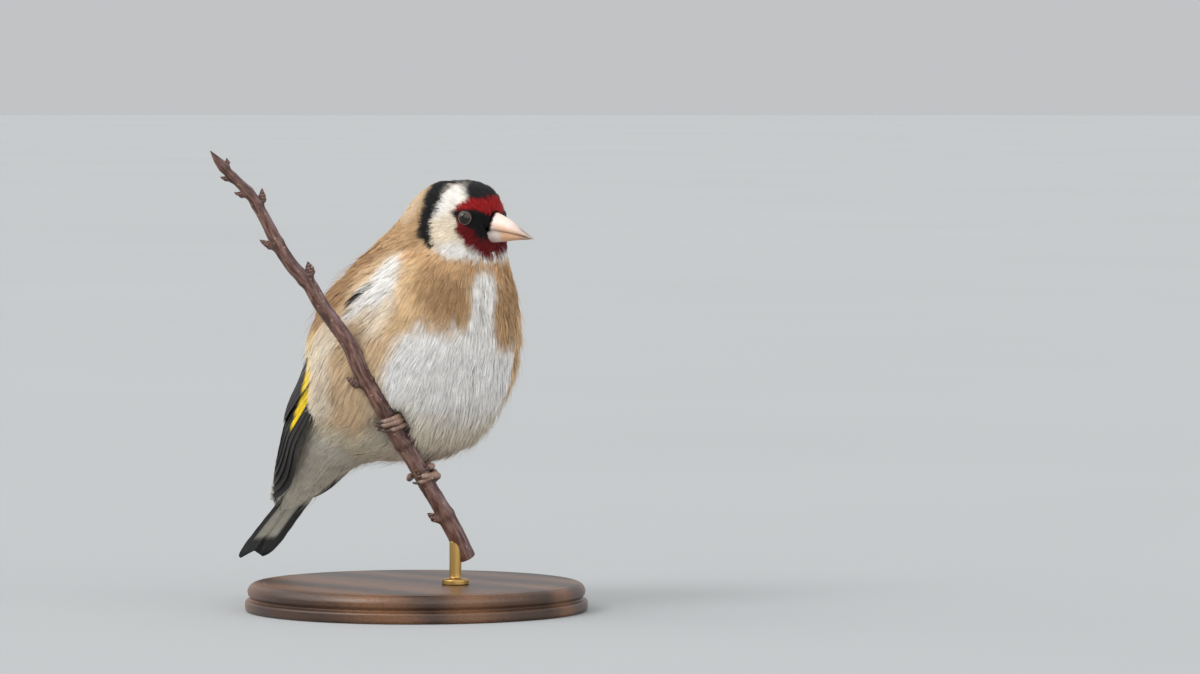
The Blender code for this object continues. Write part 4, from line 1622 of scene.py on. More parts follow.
HEAD_LIMIT = 16.0
NECK_LIMIT = 24.0
COAT_END = 107.0
MOST_TRIANGLES = 190_000
BARB_BAKE_WIDTH = 0.00006
GROUPS = (
    TuftGroup("head_coat", "face_plumage", 0.25, HEAD_LIMIT, 12, 3, 0.62, 0.058),
    TuftGroup("neck_coat", "neck_plumage", HEAD_LIMIT, NECK_LIMIT, 20, 4, 1.0, 0.075),
    TuftGroup("body_coat", "body_plumage", NECK_LIMIT, COAT_END, 28, 4, 1.5, 0.095),
    TuftGroup("loose_barbs", "body_plumage", 2.0, COAT_END, 3, 4, 1.6, 0.05, 1.1),
)
TUFT_LENGTHS = Curve(
    np.array([0.0, 7.0, 12.0, 16.0, 20.0, 26.0, 36.0, 50.0, 62.0, 80.0, 112.0]),
    np.array([2.6, 2.4, 2.6, 3.4, 4.8, 7.0, 9.0, 10.5, 10.5, 10.0, 7.0]),
)


class Coat:
    """The small feathers of head and body, as tufts of thin barbs along the lie of the coat."""

    samples = 6
    cells = (120, 144)
    tries = 3.4

    def __init__(self, form: BodyForm, markings: Markings, wings: tuple[Wing, Wing],
                 clearing: Clearing, seed: int = 7) -> None:
        """Keeps what the coat lies on.

        Args:
            form: The body's outline.
            markings: Its colours.
            wings: The two wings, which the coat leaves room for.
            clearing: The hollow around twig and toes.
            seed: Start of the random draws.
        """
        self.form = form
        self.markings = markings
        self.wings = wings
        self.clearing = clearing
        self.random = np.random.default_rng(seed)

    def scatter(self, first: float, last: float, spacing: float) -> Array:
        """Spreads tuft roots evenly between two stations.

        Args:
            first: The first station.
            last: The last station.
            spacing: Smallest distance between two roots.

        Returns:
            Places on the chart.
        """
        rows, columns = self.cells
        edges = np.linspace(first, last, rows + 1)
        turns = np.linspace(-180.0, 180.0, columns + 1)
        tall, wide = edges[1] - edges[0], turns[1] - turns[0]
        station, angle = np.meshgrid(
            (edges[1:] + edges[:-1]) / 2, (turns[1:] + turns[:-1]) / 2, indexing="ij"
        )
        along = self.form.point(station + 0.1, angle) - self.form.point(station - 0.1, angle)
        around = self.form.point(station, angle + 0.5) - self.form.point(station, angle - 0.5)
        area = np.linalg.norm(np.cross(along / 0.2, around), axis=-1) * tall * wide
        wanted = int(self.tries * area.sum() / spacing**2)
        cells = self.random.choice(area.size, size=wanted, p=(area / area.sum()).ravel())
        jitter = self.random.random((wanted, 2))
        station = edges[cells // columns] + jitter[:, 0] * tall
        angle = np.radians(turns[cells % columns] + jitter[:, 1] * wide)
        points = self.form.point(station, np.degrees(angle))
        tree = KDTree(len(points))
        for i, point in enumerate(points):
            tree.insert(point, i)
        tree.balance()
        free = np.ones(len(points), dtype=bool)
        kept = []
        for i, point in enumerate(points):
            if free[i]:
                kept.append(i)
                for _, j, _ in tree.find_range(point, spacing):
                    free[j] = False
        return polar(station, angle)[kept]

    def flow(self, chart: Array, point: Array, normal: Array, first: Array, second: Array) -> Array:
        """The lie of the coat: away from the bill on the head, towards the tail on the body.

        Args:
            chart: Places on the chart.
            point: Their points.
            normal: Their outward normals.
            first: The way of the chart's first axis there.
            second: The way of its second axis.

        Returns:
            Unit vectors along the surface.
        """
        station, angle = self.form.read_chart(chart)
        turn = np.radians(angle)
        tailward = unit(first * np.cos(turn)[:, None] + second * np.sin(turn)[:, None])
        away = point - head_point(*BILL_ROOT)
        away = unit(away - normal * (away * normal).sum(axis=-1, keepdims=True))
        return unit(mix(away, tailward, smoothstep(12.0, 22.0, station)[:, None]))

    @staticmethod
    def lengths(station: Array, angle: Array) -> Array:
        """Gives the tufts' lengths, shorter on the face.

        Args:
            station: Stations of their roots.
            angle: Angles of their roots.

        Returns:
            Lengths in millimetres.
        """
        ahead = 1 - smoothstep(40.0, 90.0, np.abs(angle))
        face = 0.25 * ahead * (1 - smoothstep(10, 15, station))
        return TUFT_LENGTHS(station)[..., 0] * (1.0 - face)

    @staticmethod
    def lift(station: Array, angle: Array) -> Array:
        """Height of the tufts' tips over the outline, more where the coat is loose.

        Args:
            station: Stations of their roots.
            angle: Angles of their roots.

        Returns:
            Heights in millimetres.
        """
        ahead = np.abs(angle)
        low = smoothstep(30.0, 46.0, station) * (1 - smoothstep(52.0, 64.0, station))
        fluff = low * (1 - smoothstep(60.0, 110.0, ahead)) * 0.85
        brow = (1 - smoothstep(7.5, 9.0, station)) * (1 - smoothstep(35.0, 60.0, ahead)) * 0.15
        sleek = 1 - 0.7 * smoothstep(54.0, 66.0, station)
        base = 0.12 + 0.28 * smoothstep(14.0, 30.0, station) * sleek
        ruffle = smoothstep(26.0, 31.0, station) * (1 - smoothstep(38.0, 45.0, station))
        ruffle = ruffle * np.exp(-(((angle - 58.0) / 16.0) ** 2)) * 0.6
        return base + fluff + ruffle + brow * smoothstep(1.5, 4.0, station)

    def allowed(self, chart: Array, points: Array) -> Array:
        """Which tufts stay clear of eyes, bill and wings.

        Args:
            chart: Places of the roots on the chart.
            points: Points along each tuft.

        Returns:
            True for those that stay.
        """
        keep = np.ones(len(chart), dtype=bool)
        for side in (1, -1):
            centre, out = eye_place(side)
            offset = points - centre
            radial = offset - (offset @ out)[..., None] * out
            near = (np.linalg.norm(radial, axis=-1) < LID_RADIUS + 0.15) & ((offset @ out) > 0)
            keep &= ~near.any(axis=1)
        local = to_head(points)
        _, far = round_bill(local)
        keep &= ~((far < 0.92) & (local[..., 0] > 7.0)).any(axis=1)
        keep &= ~((far < 1.75) & (local[..., 0] > 8.3) & (local[..., 2] < -1.6)).any(axis=1)
        for wing in self.wings:
            keep &= ~wing.bare(*self.form.read_chart(chart))
        return keep

    def grow(self, group: TuftGroup, chart: Array) -> dict[str, Array]:
        """Lays the middle line of each tuft over the body.

        Args:
            group: The tufts' size.
            chart: Places of the roots on the chart.

        Returns:
            The lines' points, normals and sides, and each tuft's root, length and lift.
        """
        count = len(chart)
        station, angle = self.form.read_chart(chart)
        length = self.lengths(station, angle) * self.random.uniform(0.82, 1.15, count)
        yaw = np.radians(self.random.normal(0.0, 9.0, count))[:, None]
        stride = (length / (self.samples - 1))[:, None]
        end = self.form.length * 0.999
        at = chart.copy()
        rows = []
        for _ in range(self.samples):
            point, normal, first, second = self.form.chart_frame(at)
            way = self.flow(at, point, normal, first, second)
            way = unit(way * np.cos(yaw) + np.cross(normal, way) * np.sin(yaw))
            over = sum(wing.over(*self.form.read_chart(at)) for wing in self.wings)
            aside = self.form.chart_step(first, second, unit(np.cross(normal, way)))
            rows.append((point + normal * over[:, None], normal, way, at, aside))
            at = at + self.form.chart_step(first, second, way * stride)
            share = end / np.maximum(np.hypot(at[:, 0], at[:, 1]), 1e-6)
            at = at * np.minimum(share, 1.0)[:, None]
        points, normals, ways, charts, asides = (np.stack(parts, axis=1) for parts in zip(*rows))
        rise = group.rise * (0.25 + 0.75 * smoothstep(16, 30, station))
        lines = {
            "chart": chart, "points": points, "normals": normals, "charts": charts,
            "asides": asides, "sides": unit(np.cross(normals, ways)), "length": length,
            "lift": self.lift(station, angle) + rise, "depth": Skin.depth(station),
        }
        keep = self.allowed(chart, points)
        return {name: values[keep] for name, values in lines.items()}

    def between(self, share: Array) -> tuple[Array, Array]:
        """Finds where shares of a line lie among its samples.

        Args:
            share: The shares, from 0 to 1.

        Returns:
            The samples just before them, and how far beyond these they are.
        """
        spot = share * (self.samples - 1)
        low = np.clip(spot.astype(int), 0, self.samples - 2)
        return low, (spot - low)[..., None]

    def barbs(self, group: TuftGroup, lines: dict[str, Array]) -> MeshStore:
        """Turns middle lines to tufts of barbs.

        Args:
            group: The tufts' size.
            lines: What grow gives.

        Returns:
            The tufts' points, faces, colours and bake places.
        """
        count, barbs, steps = len(lines["chart"]), group.barbs, group.pieces + 1
        draw = self.random
        width = (0.25 * lines["length"] + 0.35)[:, None]
        reach = np.tile(np.linspace(-1.0, 1.0, barbs), (count, 1))
        reach = reach + draw.normal(0, 0.07, (count, barbs))
        end = 0.66 + 0.34 * np.sqrt(np.clip(1 - reach**2, 0, 1))
        end = np.clip(end * draw.uniform(0.86, 1.06, (count, barbs)), 0.3, 1.0)
        t = np.linspace(0.0, 1.0, steps)
        along = end[..., None] * t
        low, beyond = self.between(along)
        index = np.arange(count)[:, None, None]
        middle, normal, side = (
            mix(lines[name][index, low], lines[name][index, low + 1], beyond)
            for name in ("points", "normals", "sides")
        )
        normal, side = unit(normal), unit(side)
        opened = smoothstep(0.0, 0.62, along)
        offset = width[..., None] * reach[..., None] * (0.28 + 0.72 * opened)
        offset = offset * (1 - 0.22 * along**2)
        offset = offset + draw.normal(0, 0.05, (count, barbs, 1)) * along * width[..., None]
        tuft_lift = lines["lift"] * draw.uniform(0.5, 1.5, count)
        loose = draw.normal(0.0, 0.22, (count, barbs)) * lines["lift"][:, None]
        tip = (tuft_lift[:, None] + loose)[..., None]
        root = -(lines["depth"] + 0.15)[:, None, None]
        height = root + (tip - root) * (1 - (1 - along) ** 1.7)
        height = height + 0.1 * width[..., None] * (1 - reach[..., None] ** 2) * opened
        centre = middle + side * offset[..., None] + normal * height[..., None]
        roll = np.radians(np.clip(draw.normal(0.0, 30.0, (count, barbs)), -70, 70))[..., None, None]
        across = side * np.cos(roll) + normal * np.sin(roll)
        tilt = side * draw.normal(0.0, 0.08, (count, 1, 1, 1))
        tilt = tilt + np.cross(side, normal) * draw.normal(0.0, 0.07, (count, 1, 1, 1))
        facing = unit(normal * (0.55 + 0.45 * np.cos(roll)) - side * 0.4 * np.sin(roll) + tilt)
        half = group.ribbon * draw.uniform(0.75, 1.3, (count, barbs))[..., None]
        half = (half * (1 - 0.82 * t**2.2) * (0.55 + 0.45 * smoothstep(0, 0.3, t)))[..., None]
        points = np.stack([centre - across * half, centre + across * half], axis=3)
        close = self.clearing.near(lines["points"])
        outward = np.broadcast_to(normal[:, :, :, None, :], points.shape)[close]
        pressed = self.clearing.press(points[close].reshape(-1, 3), outward.reshape(-1, 3), 0.12)
        points[close] = pressed.reshape(outward.shape)
        colours = self.tones(lines, end, width * reach, t)
        roots = self.form.bake_place(lines["chart"])[:, None, None, :]
        aside = np.repeat((reach * 0.0014)[..., None], steps, axis=-1)
        bake = roots + np.stack([aside, (along - 0.5) * 0.0028], axis=-1)
        store = MeshStore()
        add_ribbons(store, points, colours, bake, facing, (1, 0, 2, 3))
        return store

    def tones(self, lines: dict[str, Array], end: Array, aside: Array, t: Array) -> Array:
        """Colours of the barbs: each takes the marking that lies under its shown part.

        Args:
            lines: What grow gives.
            end: Each barb's end, as a share of its tuft's length.
            aside: How far it lies to the tuft's side, in millimetres.
            t: Places along a barb.

        Returns:
            Linear colours by tuft, barb and place along it.
        """
        draw, count, barbs = self.random, *end.shape
        low, beyond = self.between(end * 0.74)
        row = np.arange(count)[:, None]
        seen = mix(lines["charts"][row, low], lines["charts"][row, low + 1], beyond)
        seen = seen + lines["asides"][row, low] * (aside * 0.8)[..., None]
        seen = seen + draw.normal(0, 0.1, (count, 1, 2))
        base = self.markings.colour(seen.reshape(-1, 2)).reshape(count, barbs, 3)
        base = base * draw.normal(1.0, 0.04, (count, 1, 1))
        # Each barb is darker at its root and lighter towards its tip: painted shade in the depth of
        # the coat, over a random tone for each barb
        shade = draw.normal(1.0, 0.08, (count, barbs, 1)) * (0.84 + 0.18 * t)
        return np.clip(base[:, :, None, :] * shade[..., None], 0.0, 0.95)

    def build(self, material: Material) -> None:
        """Makes every tuft of the coat, in pieces small enough for the library.

        Args:
            material: The barbs' finish.
        """
        for group in GROUPS:
            lines = self.grow(group, self.scatter(group.first, group.last, group.spacing))
            most = MOST_TRIANGLES // (group.barbs * group.pieces * 2)
            order = np.argsort(self.form.read_chart(lines["chart"])[0])
            parts = math.ceil(len(order) / most)
            for i, chosen in enumerate(np.array_split(order, parts)):
                part = {name: values[chosen] for name, values in lines.items()}
                name = group.name if parts == 1 else f"{group.name}_{i + 1}"
                settle(self.barbs(group, part).make(name, material), group.slot)


# ---------------------------------------------------------------- wings and tail


class Web(Enum):
    """Kinds of large feather of the wing."""

    PRIMARY = "primary"
    SECONDARY = "secondary"
    TERTIAL = "tertial"
    GREATER_COVERT = "greater_covert"
    MEDIAN_COVERT = "median_covert"


@dataclass(frozen=True)
class Tier:
    """A row of large feathers of the wing.

    Attributes:
        web: The feathers' kind.
        count: How many.
        roots: Roots of the first and the last, along and across the wing.
        tips: Tips of the first and the last.
        heights: Heights of root and tip over the wing's middle surface, first and last.
        half: Half width.
        tilt: Lean of each over the next.
        bow: How late the feathers turn to their tips.
        swell: How far the last feathers bend out over the lower edge before their tips.
        narrow: Share of the width at the root.
    """

    web: Web
    count: int
    roots: Ends
    tips: Ends
    heights: Ends
    half: float
    tilt: float
    bow: float = 1.0
    swell: float = 0.0
    narrow: float = 0.62


WING_TIERS = (
    Tier(Web.PRIMARY, 8, ((0.36, -0.1), (0.36, -0.72)), ((0.88, 0.45), (1.04, -0.5)),
         ((-0.1, 0.1), (-0.3, -0.1)), 2.5, -6.5, bow=2.2, swell=0.4),
    Tier(Web.SECONDARY, 7, ((0.34, 0.45), (0.34, -0.3)), ((0.7, 0.62), (0.74, -0.12)),
         ((0.45, 0.55), (0.2, 0.75)), 2.3, -8.0),
    Tier(Web.TERTIAL, 3, ((0.3, 0.76), (0.3, 0.5)), ((0.56, 0.78), (0.68, 0.7)),
         ((0.45, 0.85), (0.5, 0.75)), 2.9, -7.8),
    Tier(Web.GREATER_COVERT, 10, ((0.19, 0.7), (0.19, -0.75)), ((0.43, 0.74), (0.46, -0.75)),
         ((0.1, 1.05), (0.1, 0.7)), 2.1, -9.5, narrow=0.8),
    Tier(Web.MEDIAN_COVERT, 8, ((0.08, 0.6), (0.08, -0.65)), ((0.28, 0.62), (0.29, -0.75)),
         ((-0.15, 1.1), (0.0, 1.05)), 2.3, -10.7, narrow=0.8),
)
SHAFT_STEPS = np.linspace(0.0, 1.0, 25)


@dataclass(frozen=True)
class Vane:
    """One large feather: a thin closed blade with a raised shaft.

    Attributes:
        rows: Points along it.
        columns: Points across it.
        thickness: Thickness at the shaft, in millimetres.
    """

    rows: int = 34
    columns: int = 13
    thickness: float = 0.14

    def add(self, store: MeshStore, frame: tuple[Array, Array, Array], half: float, paint: Paint,
            cell: Triple, narrow: float = 0.62) -> None:
        """Adds the feather to a store.

        Args:
            store: Where the wing's or tail's feathers are gathered.
            frame: Points along its shaft, and the ways across and out of its blade there.
            half: Half width of the blade.
            paint: Gives colours from places along and across, for the upper or under side.
            cell: Corner and size of the feather's square on the bake map.
            narrow: Share of the width at the root.
        """
        rows, columns = self.rows, self.columns
        t = np.linspace(0.0, 1.0, rows) ** 0.85
        q = np.linspace(-1.0, 1.0, columns)
        path, wide, top = (resample(values, t) for values in frame)
        wide, top = unit(wide), unit(top)
        rise = narrow + (1 - narrow) * np.sin(np.clip(t / 0.5, 0, 1) * math.pi / 2)
        tip = np.sqrt(np.clip(1 - np.clip((t - 0.84) / 0.16, 0, 1) ** 2, 0, 1))
        width = half * rise * np.maximum(tip, 0.04)
        ripple = 1 + 0.02 * np.sin(t * 61.0 + half * 9.0)
        side = q * (width * ripple)[:, None]
        crown = -0.1 * half * q**2 * rise[:, None]
        shaft = 0.16 * np.exp(-((q / 0.09) ** 2)) * (1 - 0.85 * t[:, None])
        surface = path[:, None] + wide[:, None] * side[..., None]
        upper = surface + top[:, None] * (crown + shaft + self.thickness / 2)[..., None]
        edge = (0.2 + 0.8 * (1 - q**2))[:, None]
        lower = upper - top[:, None] * edge * (self.thickness + shaft[..., None] * 1.6)
        face = grid_faces(rows, columns)
        rim = np.concatenate([
            np.arange(columns), np.arange(1, rows) * columns + columns - 1,
            (rows - 1) * columns + np.arange(columns - 2, -1, -1),
            np.arange(rows - 2, 0, -1) * columns,
        ])
        after, behind = np.roll(rim, -1), rows * columns
        wall = np.stack([after, rim, rim + behind, after + behind], axis=-1)
        tt, qq = np.meshgrid(t, q, indexing="ij")
        run = tt * np.linalg.norm(path[-1] - path[0])
        x, y, size = cell
        low = np.stack([x + size * (0.05 + 0.2 * (qq + 1)), y + size * (0.05 + 0.9 * tt)], axis=-1)
        store.add(
            np.stack([upper, lower]), np.concatenate([face, face[:, ::-1] + behind, wall]),
            np.stack([paint(tt, qq, False), paint(tt, qq, True)]),
            np.stack([low, low + [size * 0.5, 0.0]]),
            np.stack([np.stack([side, run], axis=-1)] * 2),
        )


@dataclass
class Wing:
    """A folded wing: flight feathers, coverts and the small feathers of its shoulder.

    Attributes:
        form: The body's outline.
        side: 1 for the left wing, -1 for the right one.
    """

    form: BodyForm
    side: int

    def __post_init__(self) -> None:
        """Reads the wing's lay."""
        table = np.array(WING_LAY)
        self.lay = Curve(table[:, 0], table[:, 1:])

    def point(self, along: Array, across: Array, height: Array) -> Array:
        """Points over the wing.

        Args:
            along: From 0 at the shoulder to 1 at the tip.
            across: From -1 at the lower edge to 1 at the upper edge.
            height: Height over the wing's own middle surface.

        Returns:
            Points in millimetres.
        """
        middle, half, lift = np.moveaxis(self.lay(along), -1, 0)
        station = WING_START + along * (WING_END - WING_START)
        angle = (middle + across * half) * self.side
        normal = self.form.normal(station, angle)
        return self.form.point(station, angle) + normal * (lift + height)[..., None]

    def locate(self, station: Array, angle: Array) -> tuple[Array, Array, Array]:
        """How places of the body lie to the wing.

        Args:
            station: Stations on the body.
            angle: Angles on the body.

        Returns:
            Places along and across the wing, and whether they are on its side.
        """
        along = (station - WING_START) / (WING_END - WING_START)
        middle, half, _ = np.moveaxis(self.lay(np.clip(along, 0, 1)), -1, 0)
        return along, (np.abs(angle) - middle) / half, np.sign(angle) == self.side

    def bare(self, station: Array, angle: Array) -> Array:
        """Finds places that carry no body feathers, so that the wing shows.

        Args:
            station: Stations on the body.
            angle: Angles on the body.

        Returns:
            True where no tuft is rooted.
        """
        along, across, own = self.locate(station, angle)
        limit = np.interp(
            across, (-1.0, -0.85, -0.6, -0.45, -0.3, 0.0, 0.25, 0.5, 0.8, 1.0),
            (0.5, 0.46, 0.36, 0.33, 0.31, 0.3, 0.3, 0.27, 0.31, 0.36),
        )
        return own & (along > limit) & (along < 0.95) & (across > -0.78) & (across < 0.92)

    def over(self, station: Array, angle: Array) -> Array:
        """How far the wing raises the body feathers that lie over it.

        Args:
            station: Stations on the body.
            angle: Angles on the body.

        Returns:
            Heights in millimetres.
        """
        along, across, own = self.locate(station, angle)
        lift = self.lay(np.clip(along, 0, 1))[..., 2]
        low = smoothstep(0.4, 0.7, -across)
        inside = smoothstep(-0.02, 0.1, along) * (1 - smoothstep(0.56 - 0.07 * low, 0.66, along))
        inside = inside * (1 - smoothstep(0.82 - 0.16 * low, 1.12 + 0.2 * low, np.abs(across)))
        return np.where(own, np.maximum(lift + 1.55, 0.0) * inside, 0.0)

    @staticmethod
    def paint(web: Web, order: float) -> Paint:
        """How one feather of the wing is coloured.

        Args:
            web: The feather's kind.
            order: 0 for the first of its row, 1 for the last.

        Returns:
            A function from places along and across to colours.
        """
        def colours(t: Array, q: Array, under: bool) -> Array:
            """Colours the blade.

            Args:
                t: Places along it.
                q: Places across it.
                under: Whether it is the under side.

            Returns:
                Linear colours.
            """
            edge = smoothstep(0.7, 1.0, np.abs(q)) * (0.0 if under else 1.0)
            white = 0.15 if under else 1.0
            if web is Web.PRIMARY:
                outer = (1 - smoothstep(-0.12, 0.08, q)) * (order < 0.7)
                vane = outer * (1 - 0.85 * np.exp(-((q / 0.1) ** 2)))
                end = 0.27 + 0.42 * order
                shares = [
                    (edge * 0.2, Hue.WING_EDGE),
                    (vane * (1 - smoothstep(end, end + 0.06, t)), Hue.YELLOW),
                    (smoothstep(0.955, 0.99, t) * white, Hue.TIP_WHITE),
                ]
            elif web is Web.SECONDARY:
                end = 0.3 + 0.16 * order**3
                shares = [
                    (edge * 0.15, Hue.WING_EDGE),
                    (1 - smoothstep(end, end + 0.07, t), Hue.YELLOW),
                    (smoothstep(0.945, 0.98, t) * white, Hue.TIP_WHITE),
                ]
            elif web is Web.TERTIAL:
                shares = [
                    (edge * 0.25, Hue.WING_EDGE),
                    (smoothstep(0.91, 0.96, t) * white, Hue.TIP_WHITE),
                ]
            elif web is Web.GREATER_COVERT:
                end = smoothstep(0.72, 0.8, t) * (1 - smoothstep(0.55, 0.9, order) * 0.9)
                shares = [(edge * 0.15, Hue.WING_EDGE), (end, Hue.YELLOW)]
            else:
                shares = [(edge * 0.35, Hue.WING_EDGE), (smoothstep(0.9, 1.0, t) * 0.6, Hue.MANTLE)]
            return blend_hues(shares, Hue.WING)

        return colours

    def frame(self, tier: Tier, order: float) -> tuple[Array, Array, Array]:
        """Lays out one feather.

        Args:
            tier: Its row.
            order: 0 for the first of the row, 1 for the last.

        Returns:
            Points along its shaft, and the ways across and out of its blade.
        """
        root, tip, heights = (
            mix(*np.array(ends), order) for ends in (tier.roots, tier.tips, tier.heights)
        )
        t = SHAFT_STEPS
        along, across = root[0] + (tip[0] - root[0]) * t, root[1] + (tip[1] - root[1]) * t**tier.bow
        across = across - tier.swell * order * order * np.sin(math.pi * t**2.5)
        across = np.maximum(across, -0.56 if self.side > 0 else -1.2)
        height = heights[0] + (heights[1] - heights[0]) * t
        path = self.point(along, across, height)
        above = self.point(along, across, height + 1.0) - path
        tangent = unit(np.gradient(path, axis=0))
        wide = unit(np.cross(above, tangent) * self.side)
        top = np.cross(tangent, wide) * self.side
        cos, sin = math.cos(math.radians(tier.tilt)), math.sin(math.radians(tier.tilt))
        return path, wide * cos + top * sin, top * cos - wide * sin

    def build(self, material: Material) -> None:
        """Makes the wing's large feathers.

        Args:
            material: Their finish.
        """
        store, vane = MeshStore(), Vane()
        feathers = [(tier, i / (tier.count - 1)) for tier in WING_TIERS for i in range(tier.count)]
        for number, (tier, order) in enumerate(feathers):
            cell = ((number % 6) / 6.0, (number // 6) / 6.0, 1.0 / 6.0)
            paint = self.paint(tier.web, order)
            vane.add(store, self.frame(tier, order), tier.half, paint, cell, tier.narrow)
        name = SIDES[self.side]
        settle(store.make(f"wing_{name}_feathers", material), "wing_feathers", f"wing_{name}")


@dataclass(frozen=True)
class Tail:
    """Twelve tail feathers, the middle pair on top and shortest.

    Attributes:
        pairs: How many pairs.
        root: Root of the left feather of the middle pair.
        root_step: From its root to that of the next one outwards.
        tip: Its tip.
        tip_step: From its tip to that of the next one outwards.
        sag: How far a feather's middle bends up.
        half: Half width of the middle pair.
    """

    pairs: int = 6
    root: Triple = (-34.0, 0.5, -26.6)
    root_step: Triple = (0.0, 0.35, -0.24)
    tip: Triple = (-66.2, 0.75, -56.4)
    tip_step: Triple = (-0.15, 0.62, -0.3)
    sag: float = 0.6
    half: float = 3.3

    @staticmethod
    def paint(i: int, side: int) -> Paint:
        """How one tail feather is coloured.

        Args:
            i: Its place from the middle of the tail outwards.
            side: 1 for the left half, -1 for the right one.

        Returns:
            A function from places along and across to colours.
        """

        def colours(t: Array, q: Array, under: bool) -> Array:
            """Colours the blade.

            Args:
                t: Places along it.
                q: Places across it.
                under: Whether it is the under side.

            Returns:
                Linear colours.
            """
            inner = smoothstep(-0.2, 0.0, -q * side) if i == 5 or not under else 1.0
            reach = smoothstep(0.3, 0.42, t) * (1 - smoothstep(0.81, 0.86, t))
            pale = inner * reach * (1 - (0.3 if under else 0.75) * np.exp(-((q / 0.12) ** 2)))
            pale = pale * (1.0 if under else (0.9 if i > 3 else 0.0))
            tip = smoothstep(0.93, 0.985, t) * (0.0 if under else 0.9 if i < 3 else 0.3)
            return blend_hues([(pale, Hue.TAIL_PALE), (tip, Hue.TIP_WHITE)], Hue.WING)

        return colours

    def frame(self, i: int, side: int) -> tuple[Array, Array, Array]:
        """Lays out one feather.

        Args:
            i: Its place from the middle of the tail outwards.
            side: 1 for the left half, -1 for the right one.

        Returns:
            Points along its shaft, and the ways across and out of its blade.
        """
        mirror = np.array([1.0, side, 1.0])
        root = (np.array(self.root) + i * np.array(self.root_step)) * mirror
        tip = (np.array(self.tip) + i * np.array(self.tip_step)) * mirror
        path = root + np.outer(SHAFT_STEPS, tip - root)
        path = path + np.outer(np.sin(SHAFT_STEPS * math.pi) * self.sag, [0.0, 0.0, 1.0])
        tangent = unit(np.gradient(path, axis=0))
        lean = math.radians(-side * (3.0 + i))
        wide = np.array([0.0, math.cos(lean), math.sin(lean)])
        wide = unit(wide - tangent * (tangent @ wide)[:, None])
        return path, wide, np.cross(wide, tangent)

    def build(self, material: Material) -> None:
        """Makes the tail feathers.

        Args:
            material: Their finish.
        """
        store, vane = MeshStore(), Vane(rows=40, columns=15)
        for number in range(2 * self.pairs):
            i, side = number % self.pairs, 1 if number < self.pairs else -1
            cell = ((number % 4) / 4.0, (number // 4) / 4.0, 0.25)
            half = self.half - 0.1 * i
            vane.add(store, self.frame(i, side), half, self.paint(i, side), cell)
        settle(store.make("tail_feather_fan", material), "tail_feathers", "tail")


# ---------------------------------------------------------------- eyes and bill


@dataclass(frozen=True)
class Eye:
    """A glass eye with its ring of bare lid.

    Attributes:
        side: 1 for the left eye, -1 for the right one.
        segments: Points around the eye.
        rings: Rings of the ball.
        lid_sides: Points around the lid's ring.
        bead: Radius of that ring, in millimetres.
    """

    side: int
    segments: int = 48
    rings: int = 32
    lid_sides: int = 10
    bead: float = 0.12

    def build(self, glass: Material, lid: Material) -> None:
        """Makes the ball and its lid.

        Args:
            glass: The ball's finish.
            lid: The lid's finish.
        """
        name = SIDES[self.side]
        centre, out = eye_place(self.side)
        first = unit(np.cross(out, [0.0, 0.0, 1.0]))
        second = np.cross(out, first)
        levels = np.linspace(0.02, math.pi - 0.02, self.rings)
        rings = ball_rings(centre, EYE_RADIUS, out, first, second, levels, self.segments)
        share = smoothstep(0.78, 0.9, EYE_RADIUS * np.sin(levels))
        tones = mix(Hue.PUPIL.rgb(), Hue.IRIS.rgb(), share[:, None])
        colours = np.repeat(tones[:, None], self.segments, axis=1)
        settle(loft(f"eye_{name}_ball", rings, glass, colours), "eye", f"eye_{name}")
        middle = centre + out * math.sqrt(EYE_RADIUS**2 - LID_RADIUS**2)
        around, loops = circle(self.lid_sides)[:, None], []
        for turn in circle(self.segments):
            radial = first * math.cos(turn) + second * math.sin(turn)
            bead = self.bead * (1 + 0.1 * math.sin(turn * 26))
            reach = LID_RADIUS + 0.04 + bead * np.cos(around)
            loops.append(middle + reach * radial + bead * np.sin(around) * out)
        points = np.array([*loops, loops[0]])
        rows, sides = points.shape[:2]
        spots = np.meshgrid(np.linspace(0, 1, rows), np.linspace(0, 1, sides), indexing="ij")
        colours = np.broadcast_to(Hue.LID.rgb(), points.shape)
        store = MeshStore()
        store.add(points, grid_faces(rows, sides, closed=True), colours, np.stack(spots, -1))
        settle(store.make(f"eyelid_{name}", lid), "face_plumage")


